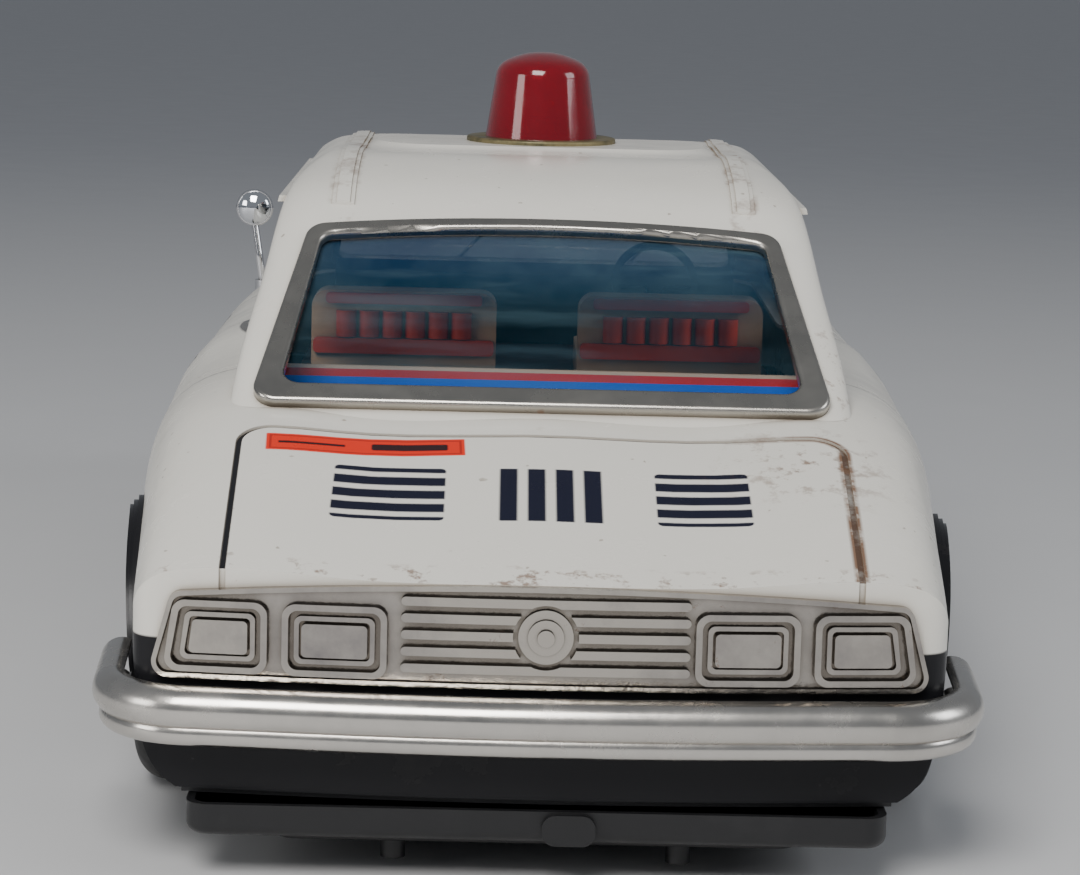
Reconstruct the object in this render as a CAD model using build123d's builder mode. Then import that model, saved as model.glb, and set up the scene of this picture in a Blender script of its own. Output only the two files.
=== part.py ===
from build123d import *
import os
from math import atan2, cos, degrees, pi, radians, sin, sqrt, tan

os.makedirs("parts", exist_ok=True)

# Tin toy patrol car, battery driven. Millimetres. +Y is forward, +X the car's right, +Z up.
# The origin is on the ground, midway between the bumpers.

# Driving sizes
body_length = 406.0  # tail face to nose face, on the centre line
bumper_reach = 12.0  # how far each bumper stands out past the body
tin = 0.8  # sheet thickness of the pressed shells
half_width = 88.3  # widest half width of the body
hem_z = 16.5  # height of the body's lower edge
waist_z = 46.0  # height at which each body section is widest
end_bow = 5.0  # how far the tail and nose bulge at the middle
end_chord = half_width - 11.0  # half width over which that bulge is measured
end_corner = 6.0  # plan radius at the four body corners

wheel_r = 26.0  # tyre outer radius
wheel_width = 15.5
wheel_face = half_width - 5.3  # distance of the tyre's outer side from the centre line
rear_axle_t = 72.0  # axle places, measured forward from the tail face
front_axle_t = body_length - 88.0
axle_r = 2.0
running = 0.05  # radial clearance of a running fit
arch_r = wheel_r + 3.5
front_arch_stretch = 5.0  # the front arches are longer, which gives the wheels room to steer
# pressed lips round the wheel openings: width of the lip, height above the body side
arch_lips = [(4.2, 1.0), (3.2, 1.9), (2.2, 2.6)]

cell_r = 16.6  # two D cells, end to end
cell_length = 61.5
contact_room = 3.5  # room for the springs and contacts at each end
floor_z = 15.4  # underside of the chassis pan
cover_z = 8.8  # underside of the battery cover's flange
cover_panel_z = 6.5  # underside of the cover's raised panel

tooth_module = 0.6
pinion_teeth = 12
gear_teeth = 36
pressure_angle = 25.0

lamp_t = body_length / 2 + 3.0
lamp_r = 13.8
lamp_height = 20.8

slack = 0.3  # gap between neighbouring pieces that don't fit each other
big = 500.0

tail_y = -body_length / 2
axle_z = wheel_r


def place(t):
    """Y of a point that lies t forward of the tail face."""
    return tail_y + t


# Body form

# station forward of the tail, half width, deck height, shoulder width
body_stations = [
    (-8.0, half_width - 12.0, 55.7, 8.5),
    (0.0, half_width - 11.3, 58.0, 9.0),
    (25.0, half_width - 9.0, 65.3, 10.0),
    (50.0, half_width - 7.0, 72.5, 12.0),
    (75.0, half_width - 4.7, 79.0, 15.0),
    (110.0, half_width - 1.8, 82.2, 19.0),
    (150.0, half_width - 0.3, 83.0, 21.8),
    (203.0, half_width, 83.2, 22.0),
    (body_length - 150.0, half_width - 0.3, 83.0, 21.8),
    (body_length - 110.0, half_width - 1.8, 83.0, 20.0),
    (body_length - 75.0, half_width - 4.7, 81.6, 17.0),
    (body_length - 50.0, half_width - 7.0, 79.0, 14.0),
    (body_length - 25.0, half_width - 9.0, 75.5, 12.0),
    (body_length, half_width - 11.3, 71.0, 10.0),
    (body_length + 8.0, half_width - 12.0, 69.3, 9.5),
]
# flank of a section: how far it tucks in at each height below the waist
tuck = [(8.5, hem_z), (3.2, 22.0), (0.8, 33.0), (0.0, waist_z)]
# shoulder of a section: share of the shoulder width, share of the height above the waist
shoulder_shape = [(0.07, 0.50), (0.27, 0.74), (0.55, 0.88), (0.95, 0.965)]
skirt_z = 10.0  # inner forms run down to here, so that the shell is open below


def body_form(inset, skirt=False):
    """The body's solid form, drawn in by inset on every side."""
    with BuildPart() as form:
        for t, width, deck, shoulder in body_stations:
            w = width - inset
            top = deck - inset
            flank = [(w - d, z) for d, z in tuck]
            rise = top - waist_z
            edge = [(w - shoulder * a, waist_z + rise * b) for a, b in shoulder_shape]
            edge_x, edge_z = edge[-1]
            crown = [(edge_x * 0.55, top - (top - edge_z) * 0.3)]
            right = flank + edge + crown
            left = [(-x, z) for x, z in reversed(right)]
            with BuildSketch(Plane.XZ.offset(-place(t))):
                with BuildLine():
                    Spline(*right, (0, top), *left)
                    if skirt:
                        Polyline(left[-1], (left[-1][0], skirt_z), (right[0][0], skirt_z), right[0])
                    else:
                        Line(left[-1], right[0])
                make_face()
        loft()
        with BuildSketch(Plane.XY) as plan:
            with BuildLine():
                side = [
                    (w + 0.3 - inset, place(t))
                    for t, w, _, _ in body_stations
                    if 20 < t < body_length - 20
                ]
                tail_corner = (end_chord - inset, place(end_bow + inset))
                nose_corner = (tail_corner[0], -tail_corner[1])
                rim = [tail_corner, *side, nose_corner]
                Polyline(*rim)
                ThreePointArc(nose_corner, (0, -place(inset)), (-nose_corner[0], nose_corner[1]))
                Polyline(*[(-x, y) for x, y in reversed(rim)])
                ThreePointArc((-tail_corner[0], tail_corner[1]), (0, place(inset)), tail_corner)
            make_face()
            corners = plan.vertices().group_by(Axis.Y)
            fillet(corners[0] + corners[-1], end_corner)
        extrude(amount=150, mode=Mode.INTERSECT)
    return form.part


body_outer = body_form(0)
body_inner = body_form(tin, skirt=True)
body_groove = body_form(tin * 0.55)

# Cabin form

foot_half = half_width - 22.6  # half width of the cabin at the windows' foot
window_foot_t = 73.0
window_slope = 45.0 / 33.0
screen_foot_t = body_length - 98.0
screen_slope = 46.0 / 35.0
window_foot_z = 79.0
screen_foot_z = 82.4


def rear_t(z):
    return window_foot_t + (z - window_foot_z) * window_slope


def front_t(z):
    return screen_foot_t - (z - screen_foot_z) * screen_slope


roof_z = 127.0
# height, half width, rear end and front end forward of the tail, corner radius
cabin_levels = [
    (72.0, foot_half + 0.5, rear_t(72), front_t(72), 7.0),
    (window_foot_z, foot_half, rear_t(79), front_t(79), 7.0),
    (89.0, foot_half - 1.3, rear_t(89), front_t(89), 7.0),
    (102.0, foot_half - 4.2, rear_t(102), front_t(102), 7.5),
    (114.0, foot_half - 6.4, rear_t(114), front_t(114), 8.5),
    (118.5, foot_half - 7.7, 128.5, body_length - 147.0, 10.0),
    (121.5, foot_half - 9.5, 136.5, body_length - 154.0, 12.0),
    (124.3, foot_half - 12.9, 149.0, body_length - 163.5, 15.0),
    (126.2, foot_half - 18.2, 167.0, body_length - 176.0, 16.0),
    (roof_z, foot_half - 25.7, 184.0, body_length - 188.0, 14.0),
]


def cabin_form(inset):
    """The greenhouse's solid form, drawn in by inset, or grown where inset is negative."""
    with BuildPart() as form:
        for z, width, t0, t1, corner in cabin_levels:
            with BuildSketch(Plane.XY.offset(z - inset)):
                with Locations((0, place((t0 + t1) / 2))):
                    RectangleRounded(2 * (width - inset), t1 - t0 - 0.7 * inset, corner)
        loft()
    return form.part


cabin_outer = cabin_form(0)
cabin_inner = cabin_form(tin)
glass_outer = cabin_form(tin + 0.1)
glass_inner = cabin_form(tin + 0.7)

window_angle = atan2(1, window_slope)
window_plane = Plane(
    origin=(0, place(window_foot_t), window_foot_z),
    x_dir=(1, 0, 0),
    z_dir=(0, -sin(window_angle), cos(window_angle)),
)
screen_angle = atan2(1, screen_slope)
screen_plane = Plane(
    origin=(0, place(screen_foot_t), screen_foot_z),
    x_dir=(-1, 0, 0),
    z_dir=(0, sin(screen_angle), cos(screen_angle)),
)
# window outline: half width and height at the foot, half width and height at the head
window_open = (foot_half - 10.8, 6.2, foot_half - 17.1, 52.6)
window_rim = (foot_half - 4.2, 0.4, foot_half - 13.9, 56.2)
screen_open = (foot_half - 10.8, 5.6, foot_half - 16.5, 47.0)
screen_rim = (foot_half - 4.2, 0.4, foot_half - 13.3, 50.6)
head_arch = 3.4  # how far the window's head rises at the middle


def window_outline(outline, grow, corner):
    """A trapezoid with an arched head, for use inside a BuildSketch."""
    foot_x, foot_v, head_x, head_v = outline
    foot_x += grow
    head_x += grow
    foot_v -= grow
    head_v += grow
    with BuildSketch(mode=Mode.PRIVATE) as shape:
        with BuildLine():
            Polyline((-head_x, head_v), (-foot_x, foot_v), (foot_x, foot_v), (head_x, head_v))
            ThreePointArc((head_x, head_v), (0, head_v + head_arch), (-head_x, head_v))
        make_face()
        fillet(shape.vertices(), corner)
    return shape.sketch


pillar_t = body_length / 2 - 14.5  # middle door pillar
side_windows = [
    [(112.0, 86.0), (pillar_t - 2.5, 86.0), (pillar_t - 2.5, 111.5), (138.0, 111.5)],
    [
        (pillar_t + 2.5, 86.0),
        (body_length - 126.0, 86.0),
        (body_length - 152.0, 111.5),
        (pillar_t + 2.5, 111.5),
    ],
]
side_strip = [
    (109.0, 85.5),
    (body_length - 123.0, 85.5),
    (body_length - 150.0, 114.0),
    (134.0, 114.0),
]

# Body shell: deck groove, cabin opening, wheel arches and flares

groove_width = 1.3
lid_tail_x = half_width - 28.8
lid_head_x = half_width - 26.3
lid_head_t = 63.0
lid_corner = 7.0
cabin_cut_margin = 5.0


def lid_outline(grow):
    with BuildSketch(mode=Mode.PRIVATE) as shape:
        with BuildLine():
            head_y = place(lid_head_t + grow)
            Polyline(
                (-lid_tail_x - grow, place(-30)),
                (-lid_head_x - grow, head_y),
                (lid_head_x + grow, head_y),
                (lid_tail_x + grow, place(-30)),
                close=True,
            )
        make_face()
        fillet(shape.vertices().group_by(Axis.Y)[-1], lid_corner + grow)
    return shape.sketch


with BuildPart() as lid_groove:
    with BuildSketch(Plane.XY.offset(waist_z)):
        add(lid_outline(groove_width / 2))
        add(lid_outline(-groove_width / 2), mode=Mode.SUBTRACT)
    extrude(amount=60)
    add(body_groove, mode=Mode.SUBTRACT)

axle_ys = [place(rear_axle_t), place(front_axle_t)]


def arch_openings(grow):
    """Both wheel openings seen from the side, grown outwards by grow."""
    with BuildSketch(mode=Mode.PRIVATE) as shape:
        for y, stretch in zip(axle_ys, (0.0, front_arch_stretch)):
            with Locations((y - stretch, axle_z), (y + stretch, axle_z)):
                Circle(arch_r + grow)
            if stretch:
                with Locations((y, axle_z)):
                    Rectangle(2 * stretch, 2 * (arch_r + grow))
    return shape.sketch


with BuildPart() as flares:
    for lip_width, lip_height in arch_lips:
        with BuildPart(mode=Mode.PRIVATE) as lip_layer:
            with BuildSketch(Plane.YZ.offset(-big / 2)):
                add(arch_openings(lip_width))
            extrude(amount=big)
            add(body_form(-lip_height), mode=Mode.INTERSECT)
        add(lip_layer.part)
    with BuildSketch(Plane.XY.offset(hem_z)):
        Rectangle(big, big)
    extrude(amount=-60, mode=Mode.SUBTRACT)
    with BuildSketch(Plane.XY):
        Rectangle(2 * (half_width - 20), big)
    extrude(amount=big, mode=Mode.SUBTRACT)

with BuildPart() as body_shell:
    add(body_outer)
    add(flares.part)
    add(body_inner, mode=Mode.SUBTRACT)
    with BuildSketch(Plane.YZ.offset(-big / 2)):
        add(arch_openings(0))
    extrude(amount=big, mode=Mode.SUBTRACT)
    with BuildSketch(Plane.XY.offset(waist_z + 14)):
        opening_t0 = window_foot_t + cabin_cut_margin
        opening_t1 = screen_foot_t - cabin_cut_margin
        with Locations((0, place((opening_t0 + opening_t1) / 2))):
            RectangleRounded(2 * (foot_half - cabin_cut_margin), opening_t1 - opening_t0, 8)
    extrude(amount=60, mode=Mode.SUBTRACT)
    add(lid_groove.part, mode=Mode.SUBTRACT)

body_shell.part.label = "body_shell"
export_step(body_shell.part, "parts/body_shell.step")

# Cabin shell with its pressed roof ribs and drip rails

rib_x = foot_half - 20.9
rib_t = (126.0, body_length - 152.0)
rib_steps = [(2.5, 0.4), (1.5, 0.8)]  # half width, height above the roof
rail_z = (116.6, 118.0)
rail_out = 1.2
rail_t = (137.0, body_length - 157.0)

with BuildPart() as roof_ribs:
    for half, height in rib_steps:
        with BuildPart(mode=Mode.PRIVATE) as rib_layer:
            with BuildSketch(Plane.XY.offset(114)):
                with Locations(*[(x, place(sum(rib_t) / 2)) for x in (-rib_x, rib_x)]):
                    Rectangle(2 * half, rib_t[1] - rib_t[0])
            extrude(amount=20)
            add(cabin_form(-height), mode=Mode.INTERSECT)
        add(rib_layer.part)

with BuildPart() as drip_rails:
    with BuildSketch(Plane.XY.offset(rail_z[0])):
        for side in (-1, 1):
            with Locations((side * foot_half, place(sum(rail_t) / 2))):
                Rectangle(30, rail_t[1] - rail_t[0])
    extrude(amount=rail_z[1] - rail_z[0])
    add(cabin_form(-rail_out), mode=Mode.INTERSECT)

with BuildPart() as cabin_shell:
    add(cabin_outer)
    add(roof_ribs.part)
    add(drip_rails.part)
    add(cabin_inner, mode=Mode.SUBTRACT)
    add(body_outer, mode=Mode.SUBTRACT)
    for plane, opening in ((window_plane, window_open), (screen_plane, screen_open)):
        with BuildSketch(plane.offset(-8)):
            add(window_outline(opening, 0.6, 3.5))
        extrude(amount=16, mode=Mode.SUBTRACT)
    for corners in side_windows:
        with BuildSketch(Plane.YZ) as hole:
            with BuildLine():
                Polyline(*[(place(t), z) for t, z in corners], close=True)
            make_face()
            fillet(hole.vertices(), 4)
        extrude(amount=half_width, both=True, mode=Mode.SUBTRACT)

cabin_shell.part.label = "cabin_shell"
export_step(cabin_shell.part, "parts/cabin_shell.step")

# Windows: thin sheets behind the shell's openings

end_windows = (
    ("rear_window", window_plane, window_open, window_rim),
    ("windscreen", screen_plane, screen_open, screen_rim),
)
for name, plane, opening, _ in end_windows:
    with BuildPart() as glazing:
        with BuildSketch(plane.offset(-8)):
            add(window_outline(opening, 2.0, 4.5))
        extrude(amount=16)
        add(glass_outer, mode=Mode.INTERSECT)
        add(glass_inner, mode=Mode.SUBTRACT)
    glazing.part.label = name
    export_step(glazing.part, f"parts/{name}.step")

with BuildPart() as side_glazing:
    with BuildSketch(Plane.YZ.offset(-half_width)):
        with BuildLine():
            Polyline(*[(place(t), z) for t, z in side_strip], close=True)
        make_face()
    extrude(amount=2 * half_width)
    add(glass_outer, mode=Mode.INTERSECT)
    add(glass_inner, mode=Mode.SUBTRACT)
    with BuildSketch(Plane.XY.offset(60)):
        Rectangle(2 * (foot_half - 15), big)
    extrude(amount=80, mode=Mode.SUBTRACT)

side_glazing.part.label = "side_windows"
export_step(side_glazing.part, "parts/side_windows.step")

# Bright frames around the rear window and the windscreen

frame_height = 2.4
frame_round = 1.1

for window_name, plane, opening, rim_outline in end_windows:
    name = f"{window_name}_frame"
    with BuildPart() as frame:
        with BuildSketch(plane.offset(-2)):
            add(window_outline(rim_outline, 0, 5.0))
            add(window_outline(opening, 0, 3.5), mode=Mode.SUBTRACT)
        extrude(amount=2 + frame_height)
        top_face = frame.faces().sort_by(Axis((0, 0, 0), plane.z_dir))[-1]
        fillet(top_face.edges(), frame_round)
        add(cabin_outer, mode=Mode.SUBTRACT)
        add(body_outer, mode=Mode.SUBTRACT)
    frame.part.label = name
    export_step(frame.part, f"parts/{name}.step")

# Stamped end panels. Both are drawn at the tail; the grille is then turned to the nose.

end_radius = (end_chord**2 + end_bow**2) / (2 * end_bow)
panel_sheet = 1.0


def end_slab(low, high):
    """The layer from low to high outside the bowed tail face."""
    with BuildPart() as slab:
        with BuildSketch(Plane.XY):
            with Locations((0, tail_y + end_radius)):
                Circle(end_radius + high)
                Circle(end_radius + low, mode=Mode.SUBTRACT)
        extrude(amount=120)
    return slab.part


def relief(outline, low, high):
    """The outline, seen from behind the car, as a raised part of the tail face."""
    with BuildPart() as raised:
        with BuildSketch(Plane.XZ.offset(-tail_y - 20)):
            add(outline)
        extrude(amount=50)
        add(end_slab(low, high), mode=Mode.INTERSECT)
    return raised.part


def slanted_box(x0, x1, z0, z1, slant, corner):
    """A rounded box whose outer side leans out by slant at the foot."""
    with BuildSketch(mode=Mode.PRIVATE) as shape:
        with BuildLine():
            Polyline((x0, z0), (x1 + slant, z0), (x1, z1), (x0, z1), close=True)
        make_face()
        fillet(shape.vertices(), corner)
    return shape.sketch


def ring_of(outer, inner):
    with BuildSketch(mode=Mode.PRIVATE) as shape:
        add(outer)
        add(inner, mode=Mode.SUBTRACT)
    return shape.sketch


panel_foot_z = 38.3
panel_head_z = 54.8
panel_foot_x = end_chord - 2.8
panel_head_x = end_chord - 7.3
panel_crown = 3.1
step_1 = panel_sheet + 0.9
step_2 = panel_sheet + 1.5
outer_cell_x = end_chord - 25.7
lamp_cells = [(outer_cell_x, outer_cell_x + 17.8, 2.0), (29.0, outer_cell_x - 2.8, 0.0)]  # inner side, outer side, outer side's slant
lamp_cell_z = (39.7, 53.5)
cell_rim = 1.2
rib_count = 5
rib_pitch = 3.2
rib_height = 1.7
rib_half_length = 27.2
boss_z = 48.5
boss_x = 0.8  # the ribs and the boss stand a little off the middle

with BuildSketch() as tail_outline:
    with BuildLine():
        Polyline(
            (panel_head_x, panel_head_z),
            (panel_foot_x, panel_foot_z),
            (-panel_foot_x, panel_foot_z),
            (-panel_head_x, panel_head_z),
        )
        ThreePointArc(
            (-panel_head_x, panel_head_z), (0, panel_head_z + panel_crown), (panel_head_x, panel_head_z)
        )
    make_face()
    fillet(tail_outline.vertices(), 3.0)

with BuildSketch() as tail_inside:
    offset(tail_outline.sketch, amount=-0.9)

with BuildSketch() as rib_lines:
    with Locations((boss_x, boss_z)):
        with GridLocations(0, rib_pitch, 1, rib_count):
            SlotOverall(2 * rib_half_length, rib_height)
        Circle(6.2, mode=Mode.SUBTRACT)

with BuildPart() as tail_panel:
    add(relief(tail_outline.sketch, 0, panel_sheet))
    add(relief(ring_of(tail_outline.sketch, tail_inside.sketch), 0, step_1))
    add(relief(rib_lines.sketch, 0, step_2))
    for x0, x1, slant in lamp_cells:
        z0, z1 = lamp_cell_z
        cell = slanted_box(x0, x1, z0, z1, slant, 2.6)
        cell_in = slanted_box(x0 + cell_rim, x1 - cell_rim, z0 + cell_rim, z1 - cell_rim, slant, 1.8)
        mid = slanted_box(x0 + 2.3, x1 - 2.3, z0 + 2.3, z1 - 2.3, slant * 0.6, 1.4)
        mid_in = slanted_box(x0 + 3.2, x1 - 3.2, z0 + 3.2, z1 - 3.2, slant * 0.6, 0.9)
        for outline, height in ((ring_of(cell, cell_in), step_2), (ring_of(mid, mid_in), step_1)):
            raised = relief(outline, 0, height)
            add(raised)
            add(mirror(raised, about=Plane.YZ, mode=Mode.PRIVATE))
    for radius, height in ((5.2, step_1), (3.4, step_2), (1.6, step_2 + 0.8)):
        with BuildSketch(mode=Mode.PRIVATE) as disc:
            with Locations((boss_x, boss_z)):
                Circle(radius)
        add(relief(disc.sketch, 0, height))

tail_panel.part.label = "tail_panel"
export_step(tail_panel.part, "parts/tail_panel.step")

with BuildPart() as tail_lenses:
    for x0, x1, slant in lamp_cells:
        z0, z1 = lamp_cell_z
        lens = slanted_box(x0 + 3.7, x1 - 3.7, z0 + 3.7, z1 - 3.7, slant * 0.4, 0.9)
        raised = relief(lens, panel_sheet, step_2)
        add(raised)
        add(mirror(raised, about=Plane.YZ, mode=Mode.PRIVATE))

tail_lenses.part.label = "tail_lenses"
export_step(tail_lenses.part, "parts/tail_lenses.step")

grille_foot_z = 42.0
grille_head_z = 65.0
grille_half = end_chord - 6.3
headlamp_xs = (end_chord - 17.3, end_chord - 34.8)
headlamp_z = 53.5
headlamp_r = 7.6
lens_r = headlamp_r - 0.1
lens_lift = 1.0  # clears the bowed panel behind the lens's inner side
lens_height = 2.8
bezel_r = 9.2
grille_rib_half = headlamp_xs[1] - 13.0
grille_rib_count = 6

with BuildSketch() as grille_outline:
    with Locations((0, (grille_foot_z + grille_head_z) / 2)):
        RectangleRounded(2 * grille_half, grille_head_z - grille_foot_z, 4)
with BuildSketch() as grille_inside:
    offset(grille_outline.sketch, amount=-1.1)
with BuildSketch() as grille_ribs:
    with Locations((0, headlamp_z)):
        with GridLocations(0, 3.2, 1, grille_rib_count):
            SlotOverall(2 * grille_rib_half, 1.5)
lamp_spots = [(side * x, headlamp_z) for x in headlamp_xs for side in (-1, 1)]
with BuildSketch() as bezels:
    with Locations(*lamp_spots):
        Circle(bezel_r - 0.6)
        Circle(headlamp_r, mode=Mode.SUBTRACT)

with BuildPart() as grille_at_tail:
    add(relief(grille_outline.sketch, 0, panel_sheet))
    add(relief(ring_of(grille_outline.sketch, grille_inside.sketch), 0, step_1))
    add(relief(grille_ribs.sketch, 0, step_2))
    add(relief(bezels.sketch, 0, step_2 + 0.9))

with BuildPart() as grille_panel:
    add(Rot(0, 0, 180) * grille_at_tail.part)

grille_panel.part.label = "grille_panel"
export_step(grille_panel.part, "parts/grille_panel.step")

with BuildPart() as headlamp_lenses:
    for x, z in lamp_spots:
        seat_y = -place(x**2 / (2 * end_radius)) + panel_sheet + lens_lift
        with BuildSketch(Plane.XY.offset(z)):
            with BuildLine():
                Polyline((x, seat_y + lens_height), (x, seat_y), (x + lens_r, seat_y))
                Spline(
                    (x + lens_r, seat_y),
                    (x + lens_r * 0.62, seat_y + lens_height * 0.7),
                    (x, seat_y + lens_height),
                    tangents=[(-0.3, 1), (-1, 0)],
                )
            make_face()
        revolve(axis=Axis((x, 0, z), (0, 1, 0)))

headlamp_lenses.part.label = "headlamp_lenses"
export_step(headlamp_lenses.part, "parts/headlamp_lenses.step")

# Bumpers: a half-round channel with a rolled lower lip, wrapped round each end

bumper_low = 30.0
bumper_high = 37.7
bumper_depth = 6.0
bumper_lip = 1.9
bumper_sheet = 1.0
bumper_wrap_t = rear_axle_t - arch_r - arch_lips[0][0] - 2.3  # stops short of the arch lip
bumper_side_x = half_width - 7.2
bumper_apex = 1.44  # how much the long bend cuts off the point of the bow
bow_point = -(bumper_reach - bumper_depth + bumper_apex)

with BuildLine() as bumper_path:
    FilletPolyline(
        (bumper_side_x, place(bumper_wrap_t)),
        (bumper_side_x - 2.0, place(-1.0)),
        (0, place(bow_point)),
        (-bumper_side_x + 2.0, place(-1.0)),
        (-bumper_side_x, place(bumper_wrap_t)),
        radius=[15.0, 500.0, 15.0],
    )

bumper_start = bumper_path.line @ 0
bumper_heading = bumper_path.line % 0
bumper_section = Plane(
    origin=bumper_start, x_dir=Vector(0, 0, 1).cross(bumper_heading), z_dir=bumper_heading
)
bumper_mid = (bumper_low + bumper_high) / 2

with BuildPart() as bumper:
    with BuildSketch(bumper_section):
        with BuildLine():
            ThreePointArc((0, bumper_low), (bumper_depth, bumper_mid), (0, bumper_high))
            Line((0, bumper_high), (0, bumper_high - bumper_sheet))
            ThreePointArc(
                (0, bumper_high - bumper_sheet),
                (bumper_depth - bumper_sheet, bumper_mid),
                (0, bumper_low + bumper_sheet),
            )
            Line((0, bumper_low + bumper_sheet), (0, bumper_low))
        make_face()
        with BuildLine():
            ThreePointArc(
                (0, bumper_low - bumper_lip + 0.1),
                (bumper_depth - 1.3, bumper_low - bumper_lip / 2 + 0.3),
                (0, bumper_low + 0.3),
            )
            Line((0, bumper_low + 0.3), (0, bumper_low - bumper_lip + 0.1))
        make_face()
    sweep(path=bumper_path.line)

bumper.part.label = "rear_bumper"
export_step(bumper.part, "parts/rear_bumper.step")

with BuildPart() as front_bumper:
    add(Rot(0, 0, 180) * bumper.part)

front_bumper.part.label = "front_bumper"
export_step(front_bumper.part, "parts/front_bumper.step")

iron_x = half_width - 42.3
iron_width = 8.0
iron_z = (32.0, 35.5)

with BuildPart() as tail_irons:
    with BuildSketch(Plane.XY.offset(iron_z[0])):
        with Locations((-iron_x, place(-5)), (iron_x, place(-5))):
            Rectangle(iron_width, 20)
    extrude(amount=iron_z[1] - iron_z[0])
    add(end_slab(0, bumper_depth + 2.4), mode=Mode.INTERSECT)
    add(bumper.part, mode=Mode.SUBTRACT)

with BuildPart() as bumper_irons:
    add(tail_irons.part)
    add(Rot(0, 0, 180) * tail_irons.part)

bumper_irons.part.label = "bumper_irons"
export_step(bumper_irons.part, "parts/bumper_irons.step")

# Wheels: rim, tyre and hub cap on each end of both axles

rim_r = 17.0
hub_r = 5.0
cap_r = 13.0
tyre_shoulder = 6.5
inner_shoulder = 3.5
wheel_back = wheel_face - wheel_width
tread_grooves = (wheel_back + 5.0, wheel_back + 7.5)


def spin_about(y, z):
    return Axis((0, y, z), (1, 0, 0))


def wheel_section(side, y):
    """Local x runs outwards along the axle and local y away from it."""
    return Plane(origin=(0, y, axle_z), x_dir=(side, 0, 0), z_dir=(0, 0, side))


for end, y in (("rear", axle_ys[0]), ("front", axle_ys[1])):
    with BuildPart() as rims:
        for side in (-1, 1):
            with BuildSketch(wheel_section(side, y)):
                with BuildLine():
                    Polyline(
                        (wheel_back + 1.0, axle_r),
                        (wheel_back + 1.0, hub_r),
                        (wheel_face - 6.5, hub_r),
                        (wheel_face - 6.5, rim_r - 2.4),
                        (wheel_back + 1.0, rim_r - 2.4),
                        (wheel_back + 1.0, rim_r),
                        (wheel_face - 1.2, rim_r),
                        (wheel_face - 1.2, rim_r - 1.6),
                        (wheel_face - 4.2, rim_r - 3.2),
                        (wheel_face - 4.2, axle_r),
                        close=True,
                    )
                make_face()
            revolve(axis=spin_about(y, axle_z))
    rims.part.label = f"{end}_rims"
    export_step(rims.part, f"parts/{end}_rims.step")

    with BuildPart() as caps:
        for side in (-1, 1):
            with BuildSketch(wheel_section(side, y)):
                with BuildLine():
                    Polyline((wheel_face - 4.2, 0), (wheel_face - 4.2, cap_r), (wheel_face - 3.4, cap_r))
                    ThreePointArc(
                        (wheel_face - 3.4, cap_r),
                        (wheel_face - 0.6, cap_r * 0.72),
                        (wheel_face - 0.2, 4.5),
                    )
                    Line((wheel_face - 0.2, 4.5), (wheel_face + 0.6, 3.6))
                    Spline(
                        (wheel_face + 0.6, 3.6),
                        (wheel_face + 1.3, 2.0),
                        (wheel_face + 1.5, 0),
                        tangents=[(1, -1), (0, -1)],
                    )
                    Line((wheel_face + 1.5, 0), (wheel_face - 4.2, 0))
                make_face()
            revolve(axis=spin_about(y, axle_z))
    caps.part.label = f"{end}_hub_caps"
    export_step(caps.part, f"parts/{end}_hub_caps.step")

    for hand, side in (("left", -1), ("right", 1)):
        with BuildPart() as tyre:
            with BuildSketch(wheel_section(side, y)) as tyre_section:
                with BuildLine():
                    Polyline(
                        (wheel_back, rim_r),
                        (wheel_back, wheel_r),
                        (wheel_face, wheel_r),
                        (wheel_face, rim_r),
                        close=True,
                    )
                make_face()
                tread = tyre_section.vertices().group_by(Axis.Y)[-1]
                fillet(tread.sort_by(Axis.X)[-1], tyre_shoulder)
                tread = tyre_section.vertices().group_by(Axis.Y)[-1]
                fillet(tread.sort_by(Axis.X)[0], inner_shoulder)
            revolve(axis=spin_about(y, axle_z))
            for x in tread_grooves:
                with BuildSketch(wheel_section(side, y)):
                    with Locations((x, wheel_r)):
                        Rectangle(0.9, 1.2)
                revolve(axis=spin_about(y, axle_z), mode=Mode.SUBTRACT)
        tyre.part.label = f"{end}_tyre_{hand}"
        export_step(tyre.part, f"parts/{end}_tyre_{hand}.step")

    with BuildPart() as axle:
        with BuildSketch(Plane.YZ.offset(-wheel_face + 4.2)):
            with Locations((y, axle_z)):
                Circle(axle_r)
        extrude(amount=2 * (wheel_face - 4.2))
    axle.part.label = f"{end}_axle"
    export_step(axle.part, f"parts/{end}_axle.step")

# Chassis pan, with a low rim, wheel cut-outs and a flat resting pad

pan_gap = 0.3
pan_rim_height = 5.6
pan_form = body_form(tin + pan_gap, skirt=True)
pan_hollow = body_form(2 * tin + pan_gap, skirt=True)
tray_wall = 1.2
tray_half = cell_length + contact_room + tray_wall
tray_t0 = 6.6
tray_t1 = tray_t0 + 2 * (cell_r + 1.0 + tray_wall)
tray_top = cover_z + 1.7 + 2 * cell_r + 0.6 + tray_wall
rear_well_t = (tray_t1 + 2.6, rear_axle_t + wheel_r + 4.0)
front_well_reach = wheel_r + 15.0
rear_well_x = wheel_back - 1.5
front_well_x = wheel_back - 7.0
pad_t = (134.0, body_length - 118.0)
pad_half = 40.0
pad_drop = 0.8
gear_slot = (12.0, 24.0)  # X range of the opening under the axle gear
switch_t = 122.0
switch_slot = (11.0, 4.0)
rivet_r = 2.5
screw_r = 1.4
screw_x = half_width - 18.3
screw_ts = (rear_axle_t + 40.0, body_length - 138.0)
screw_spots = [(side * screw_x, place(t)) for t in screw_ts for side in (-1, 1)]
plate_xs = (8.0, 29.0)  # left faces of the two gearbox plates
plate_sheet = 1.0

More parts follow.
